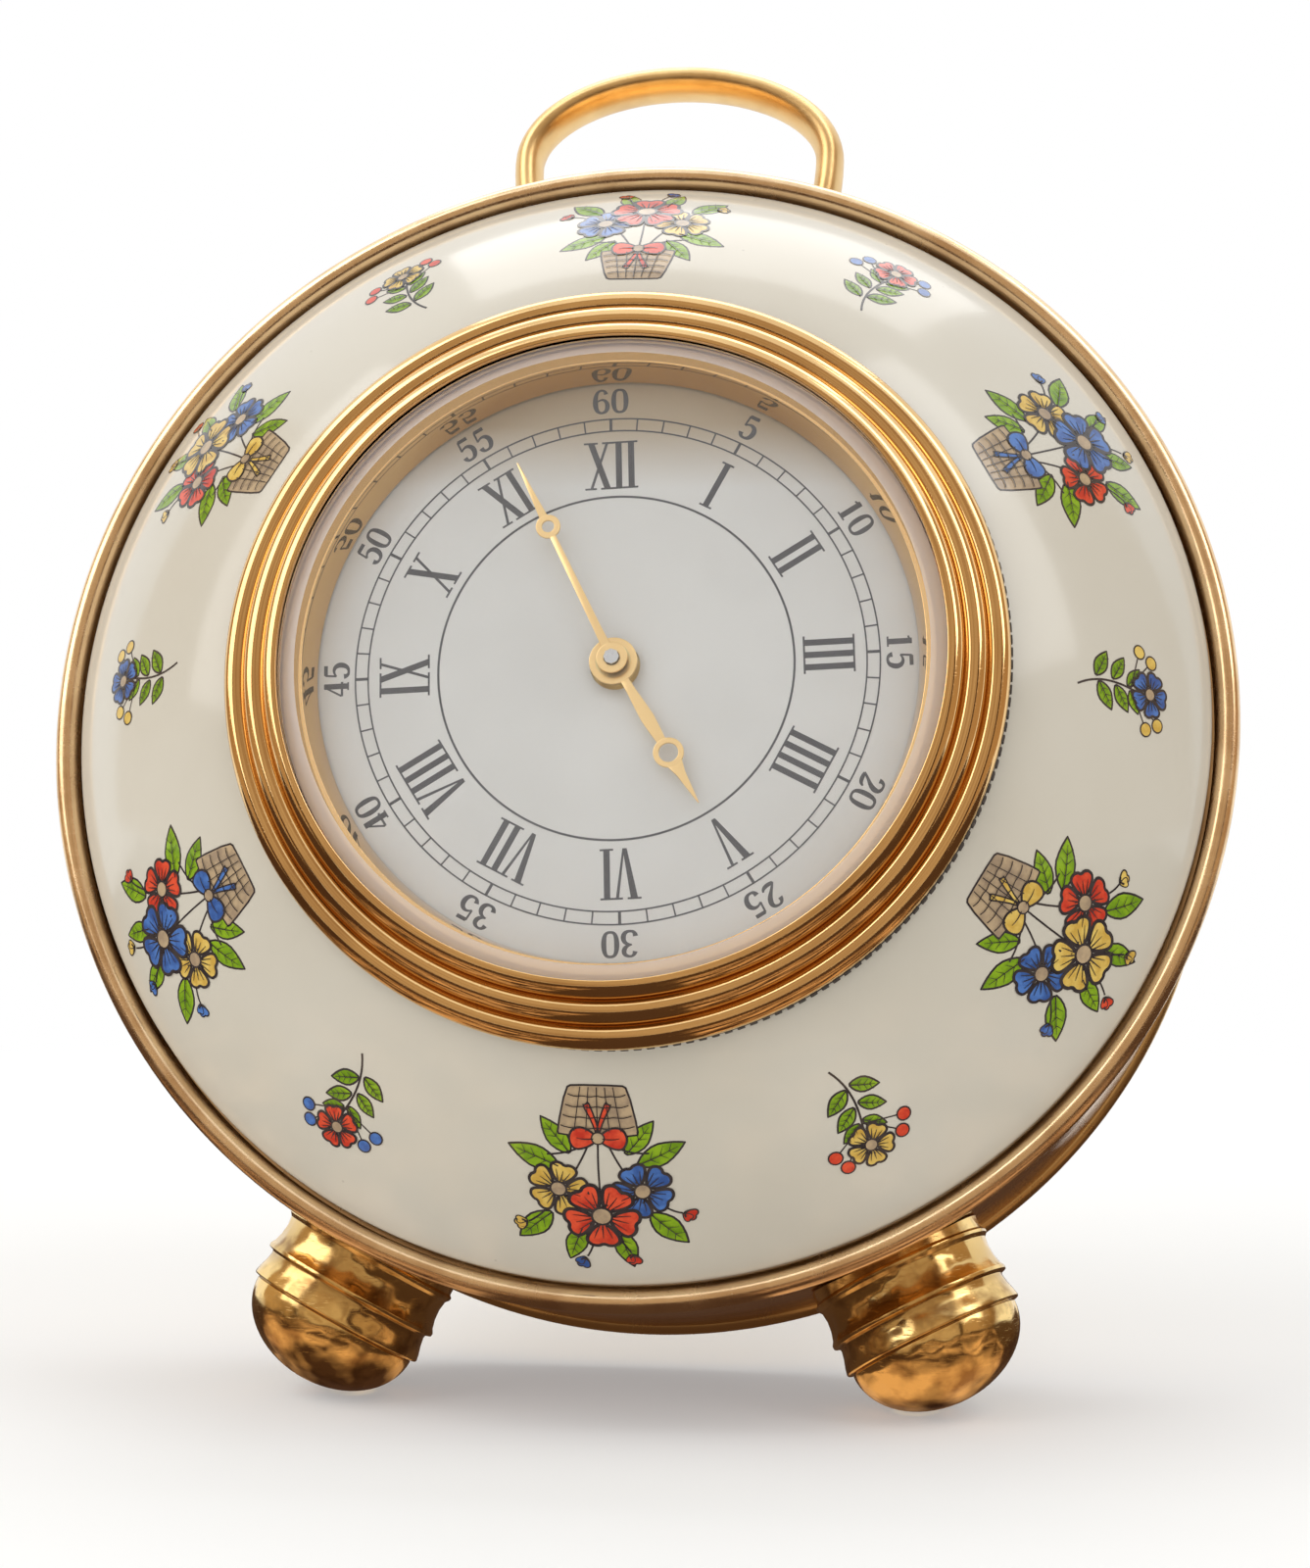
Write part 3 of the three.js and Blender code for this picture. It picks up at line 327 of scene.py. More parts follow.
def inked(name, lines, thin):
    """Pen strokes lying in X and Z: each line is a list of (x, z, half width).

    A line that ends where it began is drawn as a closed one.
    """
    data = bpy.data.curves.new(name, "CURVE")
    data.dimensions = "3D"
    data.bevel_depth = 1
    data.bevel_resolution = 1
    data.use_fill_caps = True
    data.resolution_u = 5
    for line in lines:
        closed = line[0] == line[-1]
        points = line[:-1] if closed else line
        spline = data.splines.new("NURBS")
        spline.points.add(len(points) - 1)
        spline.order_u = min(4, len(points))
        spline.use_cyclic_u = closed
        spline.use_endpoint_u = not closed
        for made, (x, z, half) in zip(spline.points, points):
            made.co = (x, 0, z, 1)
            made.radius = half
    drawn = bpy.data.objects.new(name, data)
    bpy.context.scene.collection.objects.link(drawn)
    drawn = converted(drawn, "MESH")
    drawn.data.transform(Matrix.Diagonal((1, thin, 1, 1)))
    start_editing()
    close_up()
    return drawn


def cut_away(piece, *tools):
    """Takes the tools out of the piece with boolean modifiers, and deletes them."""
    for tool in tools:
        modified(piece, "BOOLEAN", object=tool, solver="EXACT")
        discard(tool)
    return piece


def at_place(piece, place):
    """Puts the piece's mesh where it belongs, with its object at the origin."""
    object_mode()
    piece.data.transform(piece.matrix_world)
    piece.matrix_world = Matrix.Identity(4)
    piece.data.transform(place)
    piece.data.update()


def ready(piece, place, material, stands_for=None, body="case", angle=35):
    """Places and paints a finished piece, hangs it on the body it rides on, and hides the node it replaces.
    """
    at_place(piece, place)
    only(piece)
    bpy.ops.object.shade_smooth_by_angle(angle=math.radians(angle))
    if material is not None:
        piece.data.materials.clear()
        piece.data.materials.append(material)
    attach(piece, body)
    if stands_for:
        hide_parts(stands_for)


# Materials


def node(tree, kind, feeds=(), **settings):
    """A shader node; each of its feeds is a value, or another node's output to link."""
    made = tree.nodes.new("ShaderNode" + kind)
    for key, value in settings.items():
        setattr(made, key, value)
    for label, value in dict(feeds).items():
        if isinstance(value, bpy.types.NodeSocket):
            tree.links.new(value, made.inputs[label])
        else:
            made.inputs[label].default_value = value
    return made


def position(tree):
    return node(tree, "TexCoord").outputs["Object"]


def noise(tree, vector, scale, detail, roughness=0.5):
    feeds = {"Vector": vector, "Scale": scale, "Detail": detail, "Roughness": roughness}
    return node(tree, "TexNoise", feeds).outputs["Fac"]


def spread(tree, value, low, high, to_low=0.0, to_high=1.0):
    feeds = {"Value": value, "From Min": low, "From Max": high, "To Min": to_low, "To Max": to_high}
    return node(tree, "MapRange", feeds).outputs["Result"]


def maths(tree, operation, *values):
    return node(tree, "Math", enumerate(values), operation=operation).outputs[0]


def blended(tree, share, first, second):
    """The first colour, with that share of the second."""
    feeds = {"Factor": share, "A": first, "B": second}
    return node(tree, "Mix", feeds, data_type="RGBA").outputs["Result"]


def bumped(tree, height, strength, distance, **under):
    feeds = {"Height": height, "Strength": strength, "Distance": distance, **under}
    return node(tree, "Bump", feeds).outputs["Normal"]


def new_group(name, inputs):
    """An empty node group for colour, roughness and normal, and the sockets of what it is given."""
    group = bpy.data.node_groups.new(name, "ShaderNodeTree")
    for label, value in inputs.items():
        kind = "NodeSocketColor" if isinstance(value, tuple) else "NodeSocketFloat"
        group.interface.new_socket(label, in_out="INPUT", socket_type=kind).default_value = value
    for label, kind in (("Color", "Color"), ("Roughness", "Float"), ("Normal", "Vector")):
        group.interface.new_socket(label, in_out="OUTPUT", socket_type="NodeSocket" + kind)
    return group, group.nodes.new("NodeGroupInput").outputs


def give_out(group, **results):
    out = group.nodes.new("NodeGroupOutput")
    for label, result in results.items():
        group.links.new(result, out.inputs[label])
    return group


def polish_group():
    """Hand-polished metal: broad tarnished patches, painted shade in its hollows, cloudy wiping, fine
    scratches and a slight unevenness.
    """
    group, given = new_group("polished_metal", {
        "Color": (0.8, 0.5, 0.2, 1),
        "Tarnish Color": (0.3, 0.16, 0.05, 1),
        "Tarnish And Shade": 0.3,
        "Patch Scale": 90.0,
        "Roughness": 0.12,
        "Haze": 0.08,
        "Dents": 0.1,
        "Scratches": 0.1,
    })
    where = position(group)
    patches = spread(group, noise(group, where, given["Patch Scale"], 3), 0.45, 0.68)
    # Painted shade: the metal turns darker in its hollows and creases, as if shaded there.
    hollow_shade = spread(group, node(group, "NewGeometry").outputs["Pointiness"], 0.47, 0.5, 1.0, 0.0)
    amount = maths(group, "MULTIPLY", maths(group, "MAXIMUM", patches, hollow_shade), given["Tarnish And Shade"])
    color = blended(group, amount, given["Color"], given["Tarnish Color"])
    wiping = spread(group, noise(group, where, 420, 4, 0.6), 0.4, 0.7)
    roughness = maths(group, "MULTIPLY_ADD", wiping, given["Haze"], given["Roughness"])
    swell = noise(group, where, given["Patch Scale"], 1)
    dented = bumped(group, swell, given["Dents"], 0.0003)
    feeds = {"Vector": where, "Rotation": (0.4, 0.9, 0.3), "Scale": (1, 1, 14)}
    stretched = node(group, "Mapping", feeds).outputs["Vector"]
    hairs = spread(group, noise(group, stretched, 900, 2, 0.7), 0.62, 0.7)
    scratched = bumped(group, hairs, given["Scratches"], 0.00001, Normal=dented)
    return give_out(group, Color=color, Roughness=roughness, Normal=scratched)


def grain_group():
    """Fine grain and slow drift of colour, for satin metal, plastic and rubber."""
    group, given = new_group("fine_grain", {
        "Color": (0.5, 0.5, 0.5, 1),
        "Second Color": (0.4, 0.4, 0.4, 1),
        "Scale": 3000.0,
        "Grain": 0.2,
        "Roughness": 0.5,
        "Bump": 0.1,
    })
    where = position(group)
    fine = noise(group, where, given["Scale"], 3, 0.6)
    drift = spread(group, noise(group, where, 140, 2), 0.35, 0.7)
    share = spread(group, maths(group, "MULTIPLY_ADD", fine, given["Grain"], drift), 0.1, 1.2)
    color = blended(group, share, given["Color"], given["Second Color"])
    roughness = maths(group, "ADD", spread(group, fine, 0.0, 1.0, -0.1, 0.1), given["Roughness"])
    normal = bumped(group, fine, given["Bump"], 0.00003)
    return give_out(group, Color=color, Roughness=roughness, Normal=normal)


POLISH = polish_group()
GRAIN = grain_group()


def shader(name, **fixed):
    material = bpy.data.materials.new(name)
    material.use_nodes = True
    tree = material.node_tree
    surface = tree.nodes["Principled BSDF"]
    for label, value in fixed.items():
        surface.inputs[label.replace("_", " ")].default_value = value
    return material, tree, surface


def grouped(name, metallic, group, values):
    """A material whose colour, roughness and normal come from a node group."""
    material, tree, surface = shader(name, Metallic=metallic)
    given = node(tree, "Group", values, node_tree=group).outputs
    for label, target in (("Color", "Base Color"), ("Roughness", "Roughness"), ("Normal", "Normal")):
        tree.links.new(given[label], surface.inputs[target])
    return material


# The dark colour and its amount serve both the tarnished patches and the painted shade in the hollows.
def metal(name, color, tarnish_and_shade_color, tarnish_and_shade, roughness, haze, dents, scratches, patch_scale=90):
    return grouped(name, 1.0, POLISH, {
        "Color": (*color, 1),
        "Tarnish Color": (*tarnish_and_shade_color, 1),
        "Tarnish And Shade": tarnish_and_shade,
        "Patch Scale": patch_scale,
        "Roughness": roughness,
        "Haze": haze,
        "Dents": dents,
        "Scratches": scratches,
    })


def grained(name, color, second, roughness, scale, grain, bump, metallic=0.0):
    return grouped(name, metallic, GRAIN, {
        "Color": (*color, 1),
        "Second Color": (*second, 1),
        "Scale": scale,
        "Grain": grain,
        "Roughness": roughness,
        "Bump": bump,
    })


AMBER = (0.88, 0.54, 0.20)
AMBER_DARK = (0.36, 0.16, 0.045)
gilt_case = metal("case_gilding", AMBER, AMBER_DARK, 0.35, 0.17, 0.10, 0.05, 0.15)
gilt_bezel = metal("bezel_gilding", (0.91, 0.61, 0.28), AMBER_DARK, 0.30, 0.09, 0.05, 0.02, 0.10)
gilt_rim = metal("rim_gilding", (0.94, 0.70, 0.43), (0.48, 0.26, 0.11), 0.40, 0.20, 0.12, 0.06, 0.2, 240)
# The feet's heavy dark mottling is partly tarnishing and partly painted dark reflection.
gilt_feet = metal("feet_gilding", (0.97, 0.69, 0.28), (0.24, 0.11, 0.035), 0.8, 0.12, 0.14, 1.0, 0.4, 420)
gilt_handle = metal("handle_gilding", (0.88, 0.63, 0.30), (0.50, 0.28, 0.10), 0.38, 0.33, 0.1, 0.05, 0.3, 260)
gilt_back = metal("back_gilding", (0.84, 0.57, 0.25), (0.50, 0.27, 0.09), 0.3, 0.27, 0.07, 0.05, 0.15)
hand_gilding = metal("hand_gilding", (0.92, 0.64, 0.30), (0.6, 0.36, 0.13), 0.15, 0.30, 0.08, 0.02, 0.1)
brass = metal("gear_brass", (0.78, 0.62, 0.32), (0.4, 0.28, 0.1), 0.3, 0.28, 0.1, 0.03, 0.3)
steel = metal("bright_steel", (0.62, 0.62, 0.63), (0.3, 0.28, 0.26), 0.3, 0.26, 0.12, 0.03, 0.35)
copper = metal("winding_copper", (0.72, 0.34, 0.18), (0.3, 0.12, 0.06), 0.3, 0.3, 0.1, 0.02, 0.4)
gilt_wall = metal("reflector_gilding", (0.76, 0.48, 0.21), (0.45, 0.28, 0.12), 0.1, 0.02, 0.01, 0.0, 0.02)
print_ink = grained("dial_print", (0.075, 0.075, 0.085), (0.12, 0.12, 0.13), 0.45, 4000, 0.4, 0.05)
rubber = grained("gasket_rubber", (0.05, 0.042, 0.036), (0.085, 0.07, 0.06), 0.75, 2500, 0.5, 0.4)
black_plastic = grained("black_plastic", (0.03, 0.03, 0.033), (0.05, 0.05, 0.055), 0.45, 2500, 0.5, 0.3)
pale_plastic = grained("pale_plastic", (0.75, 0.74, 0.70), (0.66, 0.64, 0.6), 0.45, 2500, 0.5, 0.2)
green_board = grained("circuit_board", (0.07, 0.28, 0.14), (0.10, 0.36, 0.2), 0.4, 1500, 0.6, 0.2)


def dial_material():
    """Silvering with a painted brownish shade at its top, standing in for the bezel's shadow on the dial."""
    material = grained("dial_silvering", (0.89, 0.88, 0.85), (0.84, 0.83, 0.80), 0.42, 6000, 0.5, 0.12, 0.15)
    tree = material.node_tree
    color = tree.nodes["Principled BSDF"].inputs["Base Color"]
    silver = color.links[0].from_socket
    # Painted shadow: the silvering turns brown towards the top edge, where the bezel shades the dial.
    height = node(tree, "SeparateXYZ", {0: position(tree)}).outputs["Z"]
    painted_shadow = spread(tree, height, PAINTED_SHADE_FROM, PAINTED_SHADE_TO, 0.0, 0.85)
    tree.links.new(blended(tree, painted_shadow, silver, (0.50, 0.38, 0.23, 1)), color)
    return material


def enamel_material():
    """Vitreous enamel: warm white with a wet gloss, a slight pull in the surface and a few specks."""
    material, tree, surface = shader(
        "white_enamel", Roughness=0.15, IOR=1.5, Coat_Weight=0.2, Coat_Roughness=0.06
    )
    where = position(tree)
    tone = spread(tree, noise(tree, where, 60, 3), 0.35, 0.65)
    white = blended(tree, tone, (0.66, 0.615, 0.525, 1), (0.63, 0.58, 0.485, 1))
    distance = node(tree, "TexVoronoi", {"Vector": where, "Scale": 260}).outputs["Distance"]
    specks = spread(tree, distance, 0.018, 0.03, 0.35, 0.0)
    tree.links.new(blended(tree, specks, white, (0.35, 0.30, 0.25, 1)), surface.inputs["Base Color"])
    tree.links.new(bumped(tree, noise(tree, where, 110, 2), 0.12, 0.0003), surface.inputs["Normal"])
    return material


def glass_material(name, color, roughness, clear):
    return shader(name, Base_Color=(*color, 1), Roughness=roughness, IOR=1.5, Transmission_Weight=clear)[0]


def paint_material(name, light, deep):
    """Brushed-on enamel colour that pools darker here and there, under the same gloss as the white."""
    material, tree, surface = shader(name, Roughness=0.12, IOR=1.5, Coat_Weight=0.3, Coat_Roughness=0.04)
    pools = spread(tree, noise(tree, position(tree), 900, 3, 0.6), 0.38, 0.62)
    tree.links.new(blended(tree, pools, (*light, 1), (*deep, 1)), surface.inputs["Base Color"])
    return material


dial_silver = dial_material()
enamel = enamel_material()
clear_glass = glass_material("clock_glass", (0.985, 0.99, 0.99), 0.0, 1.0)
# The bevel's pale lilac, half-cloudy finish is a painted sheen, for the light its edge refracts.
bevel_sheen_glass = glass_material("glass_bevel", (0.82, 0.795, 0.83), 0.22, 0.6)
paint_red = paint_material("paint_red", (0.78, 0.095, 0.04), (0.56, 0.04, 0.022))
paint_blue = paint_material("paint_blue", (0.085, 0.20, 0.52), (0.04, 0.095, 0.30))
paint_yellow = paint_material("paint_yellow", (0.78, 0.55, 0.14), (0.62, 0.38, 0.07))
paint_green = paint_material("paint_green", (0.28, 0.45, 0.02), (0.17, 0.31, 0.015))
paint_tan = paint_material("paint_tan", (0.52, 0.38, 0.23), (0.36, 0.26, 0.17))
pen_ink = paint_material("pen_ink", (0.035, 0.028, 0.03), (0.06, 0.048, 0.045))

# Turned pieces of the case

SPIGOT_RADIUS = 38.1  # the collars of rim and cover that fit into the band
RIM_BORE = 37.3
RIM_SPIGOT = 2.4
COVER_BORE = 37.2
COVER_SPIGOT = 3
WELL_WALL = 1.2

rim_outline = [
    (BAND_RADIUS - RIM_BEAD, DOME_BACK + SEAT),
    *arc(BAND_RADIUS, 0, RIM_BEAD, 180, -62, 14),
    (BAND_RADIUS + 0.02, RIM_SHOULDER),
    (SPIGOT_RADIUS, RIM_SHOULDER),
    (SPIGOT_RADIUS, RIM_SHOULDER + RIM_SPIGOT),
    (RIM_BORE, RIM_SHOULDER + RIM_SPIGOT),
    (RIM_BORE, DOME_BACK + SEAT),
]
ready(turned("rim", rim_outline, FINE, 0.06), CASE, gilt_rim, "front_rim")


def dome_depth(radius):
    across = (radius - DOME_CENTRE_RADIUS) / DOME_ARC
    return DOME_CENTRE_DEPTH - DOME_ARC * math.sqrt(1 - across * across)


def dome_curve(size, first, last, steps):
    """The dome's section on a circle of that size, from one radius to another."""
    ends = [math.degrees(math.acos((radius - DOME_CENTRE_RADIUS) / size)) for radius in (first, last)]
    return arc(DOME_CENTRE_RADIUS, DOME_CENTRE_DEPTH, size, *ends, steps)


dome_outline = [
    *dome_curve(DOME_ARC, DOME_EDGE, DOME_HOLE, 40),
    *dome_curve(DOME_ARC - DOME_WALL, DOME_HOLE, DOME_EDGE - DOME_WALL, 12),
    (DOME_EDGE - DOME_WALL, DOME_BACK),
    (DOME_EDGE, DOME_BACK),
]
ready(turned("dome", dome_outline, FINE, 0.25), CASE, enamel, "enamel_dome")

band_outline = oblong(BAND_RADIUS - BAND_WALL, BAND_RADIUS, RIM_SHOULDER + SEAT, BAND_BACK - SEAT)
ready(turned("band", band_outline, FINE, 0.1), CASE, gilt_case, "drum_band")

cover_outline = [
    (WELL_RADIUS, CAN_BACK + SEAT),
    (WELL_RADIUS, BACK_FACE - 0.4),
    (WELL_RADIUS + 0.4, BACK_FACE),
    (BAND_RADIUS - 0.2, BACK_FACE),
    *arc(BAND_RADIUS - 0.1, BACK_FACE - 0.7, 0.65, -90, 80, 10),
    (BAND_RADIUS - 0.4, BAND_BACK),
    (SPIGOT_RADIUS, BAND_BACK),
    (SPIGOT_RADIUS, BAND_BACK - COVER_SPIGOT),
    (COVER_BORE, BAND_BACK - COVER_SPIGOT),
    (COVER_BORE, BAND_BACK),
    (WELL_RADIUS + WELL_WALL, BAND_BACK),
    (WELL_RADIUS + WELL_WALL, CAN_BACK + SEAT),
]
ready(turned("back", cover_outline, FINE, 0.15), CASE, gilt_back, "back_cover")

# Bezel, glass, reflector and dial

BEADS = 3
BEVEL_DEPTH = 0.3
GLASS_EDGE = BARREL_BORE - SEAT
SHIM = 0.2  # between the reflector and the glass, and the dial
DIAL_HOLE = 1.6


def bezel_outline():
    step = math.hypot(*BEAD_STEP)
    along = math.degrees(math.atan2(BEAD_STEP[1], -BEAD_STEP[0]))
    crease = math.degrees(math.acos(step / 2 / BEAD_RADIUS))
    points = [(BARREL_RADIUS, BEZEL_SEAT)]
    for i in range(BEADS):
        radius = OUTER_BEAD - BEAD_STEP[0] * i
        depth = BEZEL_SEAT - BEAD_STEP[1] * i
        start = 0 if i == 0 else along - 180 + crease
        stop = along - crease
        if i == BEADS - 1:
            stop = math.degrees(math.acos((BEZEL_LIP - radius) / BEAD_RADIUS))
        points += arc(radius, depth, BEAD_RADIUS, start, stop, 14)
    points += [
        (BEZEL_LIP, LIP_UNDERSIDE),
        (BARREL_BORE, LIP_UNDERSIDE),
        (BARREL_BORE, BARREL_BACK),
        (BARREL_RADIUS, BARREL_BACK),
    ]
    return points


ready(turned("bezel_beads", bezel_outline(), FINE, 0.05), INSERT, gilt_bezel, "bezel")

glass_outline = [
    (0, GLASS_FRONT),
    (BEZEL_LIP - GLASS_BEVEL, GLASS_FRONT),
    (BEZEL_LIP, GLASS_FRONT + BEVEL_DEPTH),
    (GLASS_EDGE, GLASS_FRONT + BEVEL_DEPTH),
    (GLASS_EDGE, GLASS_BACK),
    (0, GLASS_BACK),
]
glass = turned("glass", glass_outline, FINE, 0.04)
bevel_faces = [face.index for face in glass.data.polygons
               if math.hypot(face.center.x, face.center.z) > BEZEL_LIP - GLASS_BEVEL + 0.02
               and -0.999 < face.normal.y < -0.5]  # they face forwards, but not squarely
ready(glass, INSERT, clear_glass, "crystal", angle=10)
glass.data.materials.append(bevel_sheen_glass)
for index in bevel_faces:
    glass.data.polygons[index].material_index = 1

reflector_outline = [
    (REFLECTOR_BASE + REFLECTOR_FLARE, GLASS_BACK + SHIM),
    (GLASS_EDGE, GLASS_BACK + SHIM),
    (GLASS_EDGE, DIAL_FRONT - SHIM),
    (REFLECTOR_BASE, DIAL_FRONT - SHIM),
]
reflector = turned("reflector", reflector_outline, FINE, 0.05)
ready(reflector, INSERT, gilt_wall, "reflector_ring")

dial = turned("dial_plate", oblong(DIAL_HOLE, GLASS_EDGE, DIAL_FRONT, DIAL_BACK), FINE, 0.03)
ready(dial, INSERT, dial_silver, "dial")

# Printing on the dial

INK_FRONT = DIAL_FRONT - 0.02
INK_BACK = DIAL_FRONT + 0.02
PRINT_SIZE = 0.995  # of the figures and lines below
NUMERAL_FOOT = 12.1
NUMERAL_HEIGHT = 3.3
STEM = 0.2  # half its width
HAIRLINE = 0.06
CHAPTER_LINE = 11.54
TRACK_INNER = 16.16
TRACK_OUTER = 17.0
LINE_HALF = 0.05


def stroke_block(low, high, half_low, half_high=None):
    """A straight printed stroke from one point of (x, z) to another."""
    half_high = half_low if half_high is None else half_high
    outline = [(low[0] - half_low, low[1]), (low[0] + half_low, low[1])]
    outline += [(high[0] + half_high, high[1]), (high[0] - half_high, high[1])]
    return cut_out("stroke", outline, INK_FRONT, INK_BACK)


def serif(middle, height, half=0.43):
    outline = oblong(middle - half, middle + half, height - HAIRLINE, height + HAIRLINE)
    return cut_out("serif", outline, INK_FRONT - 0.003, INK_BACK)


TOP = NUMERAL_HEIGHT - HAIRLINE
LETTERS = {
    "I": joined([
        stroke_block((0, 0), (0, NUMERAL_HEIGHT), STEM),
        serif(0, HAIRLINE),
        serif(0, TOP),
    ], "letter_i"),
    "V": joined([
        stroke_block((-0.02, 0), (-0.6, NUMERAL_HEIGHT), 0.13, 0.23),
        stroke_block((0.06, 0), (0.5, NUMERAL_HEIGHT), 0.06, 0.1),
        serif(-0.6, TOP, 0.44),
        serif(0.52, TOP, 0.38),
    ], "letter_v"),
    "X": joined([
        stroke_block((0.55, 0), (-0.55, NUMERAL_HEIGHT), 0.21),
        stroke_block((-0.55, 0), (0.55, NUMERAL_HEIGHT), 0.09),
        serif(-0.55, TOP, 0.46),
        serif(0.58, TOP, 0.38),
        serif(-0.57, HAIRLINE, 0.38),
        serif(0.55, HAIRLINE, 0.46),
    ], "letter_x"),
}
REACH = {"I": (0.41, 0.41), "V": (0.8, 0.73), "X": (0.9, 0.88)}  # left and right of a letter's middle
NUMERALS = ("XII", "I", "II", "III", "IIII", "V", "VI", "VII", "VIII", "IX", "X", "XI")


def numeral(hour, word):
    x = -sum(sum(REACH[letter]) for letter in word) / 2
    parts = []
    for letter in word:
        left, right = REACH[letter]
        parts.append(copied(LETTERS[letter], "letter", turn(30 * hour) @ shift(x + left, 0, NUMERAL_FOOT)))
        x += left + right
    return parts


# Each digit is one unit high: pen strokes as (x, height, half width)
DIGITS = {
    "0": [[(0.3, 0, 0.035), (0.08, 0.05, 0.06), (0.03, 0.5, 0.1), (0.08, 0.95, 0.06), (0.3, 1, 0.035),
           (0.52, 0.95, 0.06), (0.57, 0.5, 0.1), (0.52, 0.05, 0.06), (0.3, 0, 0.035)]],
    "1": [[(0.31, 0.03, 0.085), (0.31, 0.98, 0.085)], [(0.1, 0.03, 0.03), (0.52, 0.03, 0.03)],
          [(0.33, 0.95, 0.04), (0.22, 0.86, 0.035), (0.1, 0.84, 0.03)]],
    "2": [[(0.12, 0.74, 0.085), (0.1, 0.94, 0.05), (0.32, 1.02, 0.03), (0.55, 0.92, 0.07), (0.53, 0.66, 0.1),
           (0.36, 0.42, 0.06), (0.16, 0.22, 0.04), (0.07, 0.06, 0.04)],
          [(0.07, 0.08, 0.05), (0.3, 0.07, 0.085), (0.52, 0.06, 0.07), (0.58, 0.25, 0.03)]],
    "3": [[(0.1, 0.8, 0.085), (0.14, 0.98, 0.045), (0.34, 1.02, 0.03), (0.55, 0.9, 0.08), (0.53, 0.66, 0.085),
           (0.36, 0.54, 0.04), (0.22, 0.53, 0.03)],
          [(0.25, 0.53, 0.03), (0.46, 0.52, 0.05), (0.6, 0.3, 0.1), (0.5, 0.03, 0.07), (0.28, -0.02, 0.03),
           (0.1, 0.03, 0.06), (0.08, 0.2, 0.09)]],
    "4": [[(0.42, 0.98, 0.03), (0.03, 0.29, 0.035)], [(0.02, 0.27, 0.04), (0.62, 0.27, 0.04)],
          [(0.44, 1, 0.085), (0.44, 0.02, 0.085)], [(0.27, 0.02, 0.03), (0.6, 0.02, 0.03)]],
    "5": [[(0.14, 0.93, 0.065), (0.55, 0.93, 0.065)], [(0.14, 0.95, 0.035), (0.1, 0.5, 0.035)],
          [(0.1, 0.5, 0.03), (0.24, 0.63, 0.035), (0.5, 0.6, 0.07), (0.6, 0.32, 0.1), (0.48, 0.03, 0.07),
           (0.26, -0.02, 0.03), (0.1, 0.03, 0.06), (0.08, 0.19, 0.09)]],
    "6": [[(0.5, 0.82, 0.075), (0.48, 0.98, 0.045), (0.3, 1.03, 0.03), (0.1, 0.9, 0.06), (0.04, 0.45, 0.1),
           (0.1, 0.1, 0.075), (0.3, -0.02, 0.03), (0.52, 0.07, 0.07), (0.58, 0.34, 0.09), (0.48, 0.58, 0.05),
           (0.28, 0.62, 0.03), (0.1, 0.48, 0.03)]],
}
MINUTE_HEIGHT = 1.62
MINUTE_FOOT = 17.45
DIGIT_PITCH = 1.24
DIGIT_MIDDLE = 0.3
BOLD = 1.35


def minute_number(minutes):
    word = str(minutes)
    parts = []
    for i, digit in enumerate(word):
        x = (i - (len(word) - 1) / 2) * DIGIT_PITCH - DIGIT_MIDDLE * MINUTE_HEIGHT
        bold = [[(across, up, half * BOLD) for across, up, half in line] for line in DIGITS[digit]]
        drawn = inked("digit", bold, 0.15)
        place = turn(6 * minutes) @ shift(x, DIAL_FRONT, MINUTE_FOOT) @ Matrix.Scale(MINUTE_HEIGHT, 4)
        drawn.data.transform(place)
        parts.append(drawn)
    return parts


def minute_track():
    """Three printed circles, and sixty ticks between the outer two, thicker at every five minutes."""
    parts = []
    for radius, half in ((CHAPTER_LINE, 0.07), (TRACK_INNER, LINE_HALF), (TRACK_OUTER, LINE_HALF)):
        parts.append(turned("line", oblong(radius - half, radius + half, INK_FRONT, INK_BACK), FINE, 0))
    thin = stroke_block((0, TRACK_INNER), (0, TRACK_OUTER), LINE_HALF)
    thick = stroke_block((0, TRACK_INNER), (0, TRACK_OUTER), 0.095)
    for minute in range(60):
        parts.append(copied(thin if minute % 5 else thick, "tick", turn(6 * minute)))
    discard(thin, thick)
    return parts


printed = minute_track()
for hour, word in enumerate(NUMERALS):
    printed += numeral(hour, word)
for minutes in range(5, 65, 5):
    printed += minute_number(minutes)
discard(*LETTERS.values())
dial_print = joined(printed, "dial_print")
dial_print.data.transform(Matrix.Diagonal((PRINT_SIZE, 1, PRINT_SIZE, 1)))
ready(dial_print, INSERT, print_ink, angle=60)

# Painted flowers on the enamel

EDGE_SLOPE = math.pi / 2 - DOME_SLOPE
POSY_FROM_RIM = 8.5
SPRIG_FROM_RIM = 8.3
POSY_SIZE = 1.13
SPRIG_SIZE = 1.1
BUNCHES = 6
PAINT_BODY = 0.012  # thickness of a patch of paint
STEM_LIFT = 0.012
PEN_LIFT = 0.08  # over the enamel, past the paint


def soft(points, rounds=2):
    """A closed outline with its corners cut, once or twice over, as a brush rounds them."""
    for _ in range(rounds):
        cut = []
        for i, here in enumerate(points):
            ahead = points[(i + 1) % len(points)]
            cut.append(tuple(0.75 * a + 0.25 * b for a, b in zip(here, ahead)))
            cut.append(tuple(0.25 * a + 0.75 * b for a, b in zip(here, ahead)))
        points = cut
    return points


